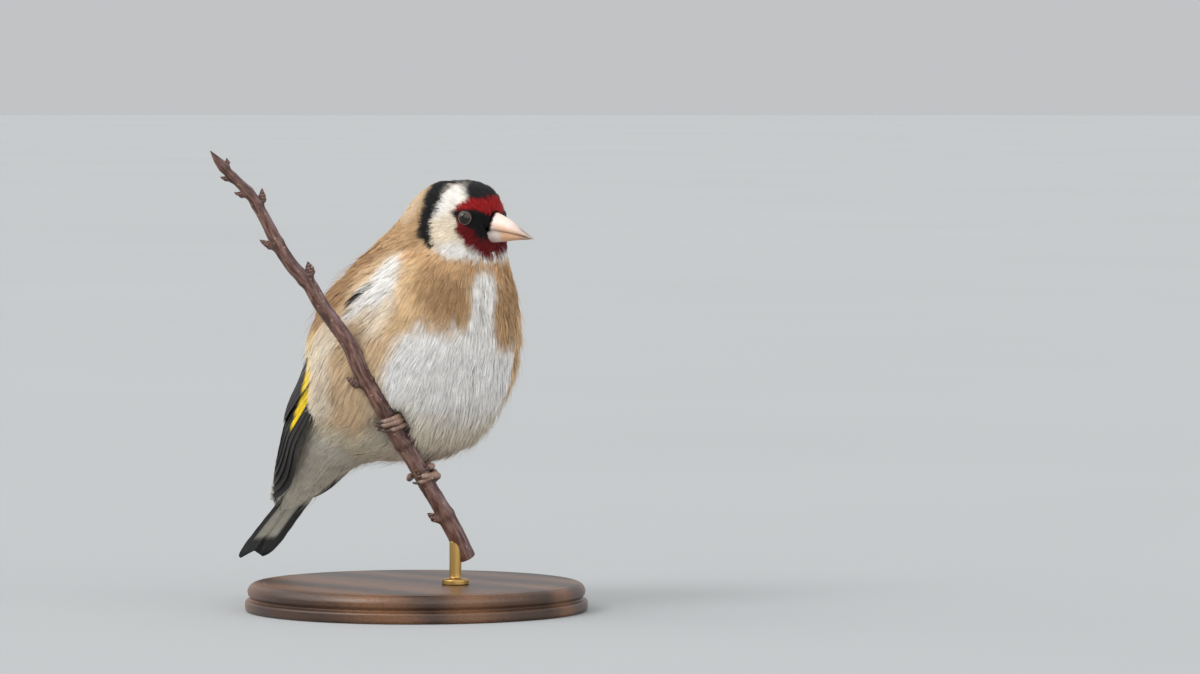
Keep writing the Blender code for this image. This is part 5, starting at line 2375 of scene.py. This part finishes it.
@dataclass(frozen=True)
class Bill:
    """The bill's two halves, with nostrils in the upper one.

    Attributes:
        sides: Points around a half.
        rings: Rings from its root to the last section.
        end_rings: Rings from there to its tip.
        nostril: Place of the left nostril in the head's own frame.
    """

    sides: int = 40
    rings: int = 48
    end_rings: int = 8
    nostril: Triple = (10.7, 2.35, 0.3)

    def build(self, material: Material) -> None:
        """Makes both halves.

        Args:
            material: Their finish.
        """
        for upper, name in ((True, "upper"), (False, "lower")):
            piece = loft(f"bill_{name}_horn", *self.half(upper, material), flip=upper)
            settle(piece, "bill_horn", f"bill_{name}")

    def half(self, upper: bool, material: Material) -> tuple[Array, Material, Array]:
        """Shapes and colours one half.

        Args:
            upper: Whether it is the upper half.
            material: Its finish.

        Returns:
            Its rings of points, its finish and a colour for each point.
        """
        first, last = BILL_TABLE[0, 0], BILL_TABLE[-1, 0]
        tip, tip_level = UPPER_TIP if upper else LOWER_TIP
        ahead = np.concatenate([
            np.linspace(first, last, self.rings),
            last + (tip - last) * np.linspace(0.15, 1.0, self.end_rings) ** 0.8,
        ])[:, None]
        wide, top, mouth, bottom = np.moveaxis(BILL_CURVE(ahead), -1, 0)
        beyond = np.clip((ahead - last) / (tip - last), 0, 1)
        shrink = np.sqrt(np.clip(1 - beyond**2 * 0.96, 0.02, 1))
        flat = mouth + MOUTH_GAP / 2 if upper else mouth - MOUTH_GAP / 2
        full = top if upper else bottom
        drop = (tip_level - (flat + full)[-1] / 2) * beyond**1.3
        wide = wide * shrink
        turns = circle(self.sides)
        across = wide * np.sin(turns) * (1.0 if upper else 0.9)
        lift = np.cos(turns) if upper else -np.cos(turns)
        curved = flat + (full - flat) * shrink * np.maximum(lift, 0.0) ** 0.92
        hollow = flat - (0.12 if upper else -0.12) * wide * np.maximum(-lift, 0.0)
        points = head_point(ahead, across, np.where(lift > 0, curved, hollow) + drop)
        if upper:
            for side in (1, -1):
                pit = head_point(self.nostril[0], side * self.nostril[1], self.nostril[2])
                near = np.exp(-((np.linalg.norm(points - pit, axis=-1) / 0.62) ** 4))
                inward = unit(head_point(ahead, 0.0, flat) - points)
                points = points + inward * near[..., None] * 0.4
        t = np.broadcast_to((ahead - ahead[0]) / (ahead[-1] - ahead[0]), across.shape)
        edge = (1 - smoothstep(0.15, 0.6, lift)) * smoothstep(0.15, 0.4, t) * 0.75
        ridge = smoothstep(0.45, 0.9, t) * (0.5 + 0.4 * np.clip(lift, 0, 1) ** 4)
        if not upper:
            edge = smoothstep(0.3, 0.5, t) * 0.95
            ridge = smoothstep(0.6, 1.0, t) * 0.65
        shares = [(edge, Hue.BILL_EDGE), (ridge, Hue.BILL_TIP)]
        tone = blend_hues(shares, Hue.BILL if upper else Hue.BILL_PALE_BASE)
        # Each half is darker along the mouth line at its sides: painted shade in the gap between
        # the halves
        return points, material, tone * (1 - 0.45 * np.exp(-((lift / 0.12) ** 2)))[:, None]


@dataclass(frozen=True)
class NasalBristles:
    """Stiff black bristles that point forward over the base of the bill and hide the nostrils.

    Attributes:
        count: How many tufts.
        barbs: Bristles in a tuft.
        pieces: Faces along a bristle.
        half: Half width of a bristle, in millimetres.
        length: Its mean length.
        start: How far ahead the first ones are rooted.
        seed: Start of the random draws.
    """

    count: int = 900
    barbs: int = 4
    pieces: int = 4
    half: float = 0.055
    length: float = 1.6
    start: float = 7.6
    seed: int = 11

    def build(self, form: BodyForm, material: Material) -> None:
        """Makes the bristles.

        Args:
            form: The body's outline, for the bake map.
            material: Their finish.
        """
        draw = np.random.default_rng(self.seed)
        turn = np.radians(draw.uniform(-116.0, 116.0, self.count))
        share = draw.random(self.count)
        end = np.interp(
            np.degrees(np.abs(turn)), (0, 50, 80, 92, 104, 116), (11.6, 11.8, 11.6, 10.9, 9.6, 8.6)
        )
        start = self.start + (end - self.length - self.start) * share
        turn = np.repeat(turn[:, None], self.barbs, 1)
        turn = turn + draw.normal(0, 0.1, turn.shape)
        length = self.length * draw.uniform(0.7, 1.1, turn.shape)
        t = np.linspace(0.0, 1.0, self.pieces + 1)
        ahead = start[:, None, None] + length[..., None] * t
        spread = turn[..., None] + draw.normal(0, 0.09, turn.shape)[..., None] * t
        cos, sin = np.cos(spread), np.sin(spread)
        half, top, mouth, bottom = np.moveaxis(BILL_CURVE(ahead), -1, 0)
        rise = np.maximum(cos, 0.0) * (top - mouth) + np.minimum(cos, 0.0) * (mouth - bottom)
        raised = draw.uniform(0.5, 1.3, turn.shape)[..., None]
        height = 0.02 + 0.22 * np.sin(t * math.pi / 2) * raised
        out = head_way(0.25, sin, cos)
        centre = head_point(ahead, half * sin, mouth + rise) + out * height[..., None]
        width = head_way(0.0, cos, -sin) * (self.half * (1 - 0.85 * t**2))[:, None]
        points = np.stack([centre - width, centre + width], axis=3)
        shade = draw.normal(1.0, 0.12, (*turn.shape, 1, 1)) * np.ones((len(t), 1))
        colours = np.clip(Hue.BLACK.rgb() * shade, 0, 1)
        along = share[:, None, None] * 0.004 + t * 0.001
        spots = np.stack(np.broadcast_arrays(spread * 0.0012, along), axis=-1)
        store = MeshStore()
        bake = form.bake_place(np.array([9.0, 0.0])) + spots
        add_ribbons(store, points, colours, bake, out, (0, 1, 3, 2))
        settle(store.make("nasal_bristles", material), "face_plumage")


# ---------------------------------------------------------------- twig, legs and feet


@dataclass(frozen=True)
class Twig:
    """The cut twig that the bird grips, with buds, spurs and a pale cut end.

    Attributes:
        rings: Rings along it.
        sides: Points around it.
        bud_rings: Rings along a bud.
        bud_sides: Points around one.
    """

    rings: int = 420
    sides: int = 40
    bud_rings: int = 40
    bud_sides: int = 24

    def build(self, bark: Material) -> None:
        """Makes the twig.

        Args:
            bark: Its finish.
        """
        path, radius = twig_along(self.rings)
        tip = path[0] + (path[0] - path[8]) / np.linalg.norm(path[0] - path[8]) * 0.85
        path, radius = np.concatenate([[tip], path]), np.concatenate([[0.12], radius])
        rings = tube_rings(path, np.ones(len(path)), self.sides)
        ways = unit(rings - path[:, None])
        run = np.concatenate([[0.0], np.cumsum(np.linalg.norm(np.diff(path, axis=0), axis=1))])
        swell = self.swelling(path, ways)
        points, tones = np.empty_like(rings), np.empty(rings.shape[:2])
        for r, s in np.ndindex(tones.shape):
            way, bulge = ways[r, s], swell[r, s]
            ridge = noise.fractal(Vector(way * 1.3 + [0.0, 0.0, run[r] * 0.16]), 1.0, 2.0, 3)
            fine = noise.noise(Vector(way * 5.0 + [run[r] * 0.6, 3.0, 0.0]))
            points[r, s] = path[r] + way * radius[r] * (1 + 0.05 * ridge + 0.035 * fine + bulge)
            tones[r, s] = 0.84 + 0.5 * ridge + 0.3 * fine - 0.9 * min(bulge, 0.3)
        points, tones, ways = (
            np.concatenate([values, values[:, :1]], axis=1) for values in (points, tones, ways)
        )
        around = np.linspace(0, 2 * math.pi * 2.0, self.sides + 1)
        grain = np.stack(np.broadcast_arrays(around, run[:, None]), axis=-1)
        bake = 0.02 + grain / [13.0, run[-1]] * 0.9
        # The side that faces up is painted cooler and a little lighter, a painted reflection of the
        # sky; the side that faces down is warmer
        film = smoothstep(-0.1, 0.9, ways @ unit(np.array([0.5, 0.2, 1.0])))[..., None]
        sky_reflection_tint = mix(np.array([1.12, 0.98, 0.84]), np.array([1.02, 1.04, 1.2]), film)
        shade = np.clip(tones, 0.35, 1.4)[..., None] * sky_reflection_tint
        store = MeshStore()
        store.add(points, grid_faces(*tones.shape)[:, ::-1], shade, bake, grain)
        self.cap(store, points[-1], path[-1], (1.0, 1.1, 3.4, 3.0, 3.3, 2.2))
        self.cap(store, points[0][::-1], path[0], (1.0,) * 6)
        for number, bud in enumerate(TWIG_BUDS):
            self.bud(store, bud, number)
        settle(store.make("twig_bark", bark), "bark", "perch")

    def swelling(self, path: Array, ways: Array) -> Array:
        """How far the twig swells at its buds, most on the side of the bud's ledge.

        Args:
            path: Points along its middle.
            ways: The outward ways around each of them.

        Returns:
            A share of the radius for each point of each ring.
        """
        swell = np.zeros(ways.shape[:2])
        for _, up, lean, _, radius in TWIG_BUDS:
            centre, direction, _ = twig_at(up)
            run = (path - centre) @ direction
            near = np.linalg.norm(path - centre, axis=1) < 6.0
            ledge = np.exp(-((run + 0.5) ** 2) / 0.9) * near
            aside = np.clip(ways @ self.sideways(direction, lean), 0.0, 1.0) ** 2
            swell = swell + ledge[:, None] * (0.12 + 0.3 * radius * aside)
        return swell

    @staticmethod
    def sideways(direction: Array, lean: float) -> Array:
        """Finds the way in which a bud stands off the twig, across the picture.

        Args:
            direction: The twig's direction there.
            lean: 1 to the right, -1 to the left.

        Returns:
            A unit vector.
        """
        turn = math.radians(VIEW_TURN)
        way = np.array([math.cos(turn), math.sin(turn), 0.0]) * lean
        return unit(way - direction * way.dot(direction))

    @staticmethod
    def cap(store: MeshStore, rim: Array, centre: Array, tones: tuple[float, ...]) -> None:
        """Closes an end of the twig with rings of wood.

        Args:
            store: Where the twig is gathered.
            rim: The end's last ring of points.
            centre: Its middle.
            tones: How light each ring is against the bark.
        """
        shares = np.array([1.0, 0.9, 0.88, 0.6, 0.3, 0.02])
        rings = centre + (rim - centre) * shares[:, None, None]
        colours = np.broadcast_to(np.array(tones)[:, None, None], rings.shape)
        grain = np.zeros((*rings.shape[:2], 2))
        bake = np.broadcast_to([0.97, 0.97], grain.shape)
        store.add(rings, grid_faces(*rings.shape[:2])[:, ::-1], colours, bake, grain)

    def bud(self, store: MeshStore, row: tuple[float, ...], number: int) -> None:
        """Adds a bud of overlapping scales on its short spur.

        Args:
            store: Where the twig is gathered.
            row: Its place, lean, length and radius.
            number: Its number along the twig.
        """
        _, up, lean, length, radius = row
        centre, direction, thick = twig_at(up)
        sideways = self.sideways(direction, lean)
        grow = unit(direction * 0.86 + sideways * 0.5)
        start = centre + sideways * (thick + radius * 0.1) - direction * length * 0.2
        count, sides = self.bud_rings, self.bud_sides
        steps = np.linspace(-0.12, 1.0, count)
        body = np.interp(
            steps, (-0.12, 0.0, 0.16, 0.4, 0.7, 0.9, 1.0), (0.3, 0.8, 1.0, 0.9, 0.56, 0.24, 0.03)
        )
        scale = np.modf(np.clip(steps, 0, 1) * 5.0)[0]
        path = start + np.outer(steps, grow * length)
        rings = tube_rings(path, np.ones(count), sides)
        ways = unit(rings - path[:, None])
        points, tones = np.empty_like(rings), np.empty(rings.shape[:2])
        for r, s in np.ndindex(tones.shape):
            rough = noise.noise(Vector(ways[r, s] * 1.6 + [steps[r] * 4.0, number * 2.0, 0.0]))
            lobe = math.cos(2 * math.pi * (s / sides * 3 + math.floor(steps[r] * 5.0) * 0.5))
            lobe = 0.6 + 0.4 * lobe
            lifted = 1 + 0.16 * scale[r] * lobe - 0.06
            reach = radius * 0.8 * body[r] * lifted * (1 + 0.35 * rough)
            points[r, s] = path[r] + ways[r, s] * reach
            tones[r, s] = 0.5 + 0.5 * rough + 1.5 * scale[r] ** 5 * lobe
        around, along = np.meshgrid(np.linspace(0, 6, sides), steps * length)
        grain = np.stack([around, along], axis=-1)
        colours = np.clip(tones, 0.3, 2.0)[..., None] * np.array([1.04, 0.98, 0.9])
        bake = np.stack([
            0.94 + 0.04 * around / 6.0, 0.02 + 0.11 * number + 0.1 * (along / 4.0),
        ], axis=-1)
        store.add(points, grid_faces(count, sides, closed=True)[:, ::-1], colours, bake, grain)


@dataclass(frozen=True)
class Foot:
    """A leg and a foot that grips the twig: shank, four toes and their claws.

    Attributes:
        side: 1 for the left foot, -1 for the right one.
        level: Where on the twig it grips.
        heel: Where the shank leaves the plumage.
        toes: Start along the twig, turn around it, slide along it and radius of each toe.
        leave: The turn at which a toe leaves the twig and goes straight on, in degrees.
        toe_steps: Rings along a toe with its claw.
        shank_steps: Rings along the shank.
        pad_radius: Radius of the ball under the shank, in millimetres.
    """

    side: int
    level: float
    heel: Triple
    toes: tuple[tuple[float, float, float, float], ...]
    leave: float
    toe_steps: int = 90
    shank_steps: int = 70
    pad_radius: float = 1.2

    def build(self, skin: Material, horn: Material) -> None:
        """Makes leg, toes and claws.

        Args:
            skin: Finish of the scaled skin.
            horn: Finish of the claws.
        """
        name = SIDES[self.side]
        centre, axis, radius = twig_at(self.level)
        heel = np.array(self.heel)
        out = heel - centre
        out = unit(out - axis * out.dot(axis))
        around = np.cross(axis, out)
        parts, claws = [], []
        for number in range(len(self.toes)):
            toe, claw = self.toe(number, (out, around, axis), skin, horn)
            parts.append(toe)
            claws.append(claw)
        pad = centre + out * (radius + PAD_LIFT)
        shank = self.shank(heel, pad, skin)
        settle(shank, "leg_skin", f"leg_{name}")
        levels = np.linspace(0.05, math.pi - 0.05, 20)
        ball = ball_rings(pad, self.pad_radius, out, axis, around, levels, 28)
        parts.append(loft("pad", ball, skin, np.broadcast_to(Hue.FOOT.rgb(), ball.shape)))
        settle(join(f"foot_{name}_toes", parts), "leg_skin", f"foot_{name}")
        settle(join(f"claws_{name}", claws), "bill_horn")

    def toe(self, number: int, ways: tuple[Array, Array, Array], skin: Material,
            horn: Material) -> tuple[Object, Object]:
        """Makes one toe and its claw, wrapped around the twig.

        Args:
            number: The toe's number.
            ways: The ways out of the twig to the heel, around the twig and along it.
            skin: Finish of the scaled skin.
            horn: Finish of the claw.

        Returns:
            The toe and the claw.
        """
        out, around, axis = ways
        centre, _, radius = twig_at(self.level)
        start, sweep, slide, thick = self.toes[number]
        t = np.linspace(0, 1, self.toe_steps)
        turned = np.radians(sweep * t)
        angle = np.clip(turned, -math.radians(self.leave), math.radians(self.leave))
        claw = np.clip((t - 0.72) / 0.28, 0, 1)
        wave = np.cos(t * math.pi * 8)
        joint = 0.1 * wave * (1 - claw)
        reach = radius + 0.35 + thick + joint - claw * (thick - 0.3) * 0.8
        slip = start + slide * np.minimum(1.0, t / 0.8)
        radial = np.outer(np.cos(angle), out) + np.outer(np.sin(angle), around)
        onward = np.outer(-np.sin(angle), out) + np.outer(np.cos(angle), around)
        bent = radial + onward * (turned - angle)[:, None]
        path = centre + bent * reach[:, None] + axis * slip[:, None]
        scute = np.modf(t * 22.0)[0]
        ring = 1 + 0.1 * (1 - scute) - 0.05
        taper = np.where(t > 0.66, 1 - 0.35 * smoothstep(0.66, 0.78, t), 1.0)
        size = thick * (1 + joint) * ring * taper
        body, end = t <= 0.78, t >= 0.7
        rings = tube_rings(path[body], size[body], 22)
        tone = 0.62 + 0.65 * np.sin(scute[body] * math.pi) ** 0.7 + 0.12 * wave[body]
        colours = Hue.FOOT.rgb() * tone[:, None, None] * np.ones((1, 22, 1))
        toe = loft(f"toe_{number}", rings, skin, colours, flip=True)
        share = (t[end] - 0.7) / 0.3
        lifted = path[end] + radial[end] * (0.28 * np.sin(share * math.pi))[:, None]
        rings = tube_rings(lifted, 0.44 * (1 - share) ** 0.75 + 0.05, 16)
        colours = np.broadcast_to(Hue.CLAW.rgb(), rings.shape) * (1.1 - 0.35 * share)[:, None, None]
        return toe, loft(f"claw_{number}", rings, horn, colours, flip=True)

    def shank(self, heel: Array, pad: Array, skin: Material) -> Object:
        """Makes the scaled shank.

        Args:
            heel: Where it leaves the plumage.
            pad: Middle of the pad at its foot.
            skin: Its finish.

        Returns:
            The new object.
        """
        steps = np.linspace(0, 1, self.shank_steps)
        scute = 1 - np.modf(steps * 13.0)[0]
        size = 1.45 - 0.45 * np.minimum(steps * 2.5, 1.0) + 0.45 * np.maximum(0, steps - 0.8)
        size = 0.9 * size * (1 + 0.05 * scute - 0.025)
        rings = tube_rings(heel + np.outer(steps, pad - heel), size, 24)
        tone = 0.88 + 0.3 * scute
        colours = Hue.FOOT.rgb() * tone[:, None, None] * np.ones((1, 24, 1))
        return loft(f"leg_{SIDES[self.side]}_shank", rings, skin, colours, flip=True)


# ---------------------------------------------------------------- display stand


@dataclass(frozen=True)
class Stand:
    """Turned base and brass rod that carry the twig.

    Attributes:
        profile: Radius and height of the base's outline, from the middle of its underside.
        sides: Points around the base.
        rod_sides: Points around the rod.
        rod_radius: Radius of the rod.
        rod_level: Level of the twig that the rod holds.
        collar: Radius and height of the collar at the rod's foot.
    """

    profile: tuple[tuple[float, float], ...] = (
        (0.0, 0.6), (38.5, 0.6), (38.9, 0.0), (42.2, 0.0), (42.8, 0.35), (43.0, 1.0), (43.0, 2.2),
        (42.6, 2.7), (42.0, 2.9), (41.7, 3.2), (41.9, 3.6), (42.3, 4.2), (42.4, 5.0), (42.1, 5.9),
        (41.4, 6.6), (40.5, 6.95), (39.0, 7.0), (38.6, 6.92), (38.2, 7.0), (0.0, 7.0),
    )
    sides: int = 256
    rod_sides: int = 64
    rod_radius: float = 1.5
    rod_level: float = -48.5
    collar: tuple[float, float] = (3.4, 1.6)

    @staticmethod
    def turned(name: str, profile: Array, parts: int, centre: Array, material: Material,
               sides: int) -> Object:
        """Makes a solid by turning a profile about an upright line.

        Args:
            name: The piece's name.
            profile: Radius and height, row by row.
            parts: In how many steps each row goes over to the next.
            centre: The line's place on the base's underside.
            material: Its finish.
            sides: Points around it.

        Returns:
            The new piece.
        """
        count = len(profile) - 1
        outline = Curve(np.arange(count + 1), np.array(profile))
        fine = outline(np.linspace(0, count, parts * count + 1))
        turns = circle(sides)
        ring = np.stack([np.cos(turns), np.sin(turns), np.zeros(sides)], axis=-1)
        rings = [centre + ring * max(radius, 0.05) + [0.0, 0.0, height] for radius, height in fine]
        return loft(name, np.array(rings), material)

    def build(self, wood: Material, brass: Material) -> None:
        """Makes base, rod and collar.

        Args:
            wood: The base's finish.
            brass: The rod's finish.
        """
        base = self.turned("stand_turned_base", self.profile, 6, -TRUNK_PLACE, wood, self.sides)
        settle(base, "base_wood", "stand_base")
        centre, _, radius = twig_at(self.rod_level)
        low = np.array([centre[0], centre[1], self.profile[-1][1] - TRUNK_PLACE[2]])
        height = centre[2] - low[2] - radius * 0.75
        wide, thick = self.collar
        size = self.rod_radius
        profile = (
            (0.0, 0.02), (wide - 0.3, 0.02), (wide, 0.25), (wide, thick - 0.5),
            (wide - 0.4, thick - 0.1), (wide - 1.0, thick), (size + 0.25, thick + 0.1),
            (size, thick + 0.5), (size, height - 0.5), (size - 0.15, height - 0.1),
            (size - 0.5, height), (0.0, height),
        )
        rod = self.turned("stand_brass_rod", profile, 5, low, brass, self.rod_sides)
        settle(rod, "rod_metal", "stand_rod")


# ---------------------------------------------------------------- studio


@dataclass(frozen=True)
class Studio:
    """Floor, light and camera.

    Attributes:
        lens: The camera's focal length in millimetres.
        distance: From the camera to the trunk, in metres.
        aside: How far the picture's middle lies to the right of the trunk, in metres.
        above: How far it lies above it, in metres.
        horizon: Light from the surroundings level with the floor.
        zenith: Light from straight above.
        sky: Its colour.
        floor_sides: Points around the floor.
        floor_rings: Its rings' radii, in metres.
    """

    lens: float = 200.0
    distance: float = VIEW_DISTANCE * MM
    aside: float = 0.0425
    above: float = 0.00075
    horizon: float = 0.56
    zenith: float = 0.8
    sky: str = "#FAFCFF"
    floor_sides: int = 96
    floor_rings: Triple = (0.25, 1.0, 12.0)

    def camera(self) -> None:
        """Places the camera where the picture was taken from."""
        turn, tilt = math.radians(VIEW_TURN), math.radians(VIEW_TILT)
        level = math.cos(tilt)
        back = Vector((math.sin(turn) * level, -math.cos(turn) * level, math.sin(tilt)))
        right = Vector((math.cos(turn), math.sin(turn), 0.0))
        target = Vector(place(np.zeros(3))) + right * self.aside + back.cross(right) * self.above
        data = bpy.data.cameras.new("camera")
        data.lens = self.lens
        data.sensor_width = 36.0
        data.clip_end = 50.0
        camera = link("camera", data)
        camera.location = target + back * self.distance
        camera.rotation_euler = back.to_track_quat("Z", "Y").to_euler()
        bpy.context.scene.camera = camera

    @staticmethod
    def lamp(name: str, source: Triple, strength: float, spread: float, colour: str) -> None:
        """Adds a distant, very wide light, as from a covered sky or a large softbox.

        Args:
            name: Its name.
            source: The way it comes from.
            strength: Its strength in watts per square metre.
            spread: The angle that it fills, in degrees.
            colour: Its colour.
        """
        data = bpy.data.lights.new(name, "SUN")
        data.energy = strength
        data.angle = math.radians(spread)
        data.color = linear(colour)
        link(name, data).rotation_euler = Vector(source).to_track_quat("Z", "Y").to_euler()

    def surroundings(self) -> None:
        """Makes the light of the sky, stronger from above than from level with the floor."""
        world = bpy.data.worlds.new("studio")
        world.use_nodes = True
        tree = world.node_tree
        way = add_node(tree, "TexCoord").outputs["Generated"]
        up = add_node(tree, "SeparateXYZ", {"Vector": way}).outputs["Z"]
        background = tree.nodes["Background"].inputs
        tree.links.new(spread(tree, up, self.horizon, self.zenith), background["Strength"])
        background["Color"].default_value = rgba(self.sky)
        bpy.context.scene.world = world

    def build(self, floor: Material) -> None:
        """Makes the floor, the lights and the camera.

        Args:
            floor: The floor's finish.
        """
        sides, turns = self.floor_sides, circle(self.floor_sides)
        ring = np.stack([np.cos(turns), np.sin(turns), np.zeros(sides)], axis=-1)
        points = np.concatenate([ring * radius for radius in self.floor_rings])
        rings = grid_faces(len(self.floor_rings), sides, closed=True)[:, ::-1]
        mesh = bpy.data.meshes.new("floor")
        mesh.from_pydata(points.tolist(), [], [tuple(range(sides))] + [tuple(f) for f in rings])
        mesh.materials.append(floor)
        link("floor", mesh)
        self.surroundings()
        bpy.context.scene.view_settings.view_transform = "Standard"
        self.lamp("overcast", (-0.35, -0.65, 0.85), 1.6, 75.0, "#FFFBF4")
        self.lamp("fill", (1.0, -0.15, 0.15), 1.9, 90.0, "#FFFCF8")
        self.lamp("catchlight", (-0.1, -0.85, 0.75), 1.0, 24.0, "#FFFFFF")
        self.camera()


def main() -> None:
    """Builds every piece in order."""
    logging.basicConfig(level=logging.INFO, format="%(message)s")
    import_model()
    form = BodyForm()
    markings = Markings(form)
    wings = (Wing(form, 1), Wing(form, -1))
    down, vane = DownFinish().material(), VaneFinish().material()
    horn, skin = HornFinish().material(), ScaledSkinFinish().material()

    clearing = Clearing()
    Skin(form, markings, clearing).build(SkinFinish().material())
    Coat(form, markings, wings, clearing).build(down)
    for wing in wings:
        wing.build(vane)
    Tail().build(vane)
    glass = EyeFinish().material()
    for side in SIDES:
        Eye(side).build(glass, down)
    Bill().build(horn)
    NasalBristles().build(form, down)
    Twig().build(BarkFinish().material())
    Foot(1, LEFT_FOOT_LEVEL, LEFT_HEEL, LEFT_TOES, 400.0).build(skin, horn)
    Foot(-1, RIGHT_FOOT_LEVEL, RIGHT_HEEL, RIGHT_TOES, 222.0).build(skin, horn)
    Stand().build(WoodFinish().material(), BrassFinish().material())
    Studio().build(FloorFinish().material())


if __name__ == "__main__":
    main()
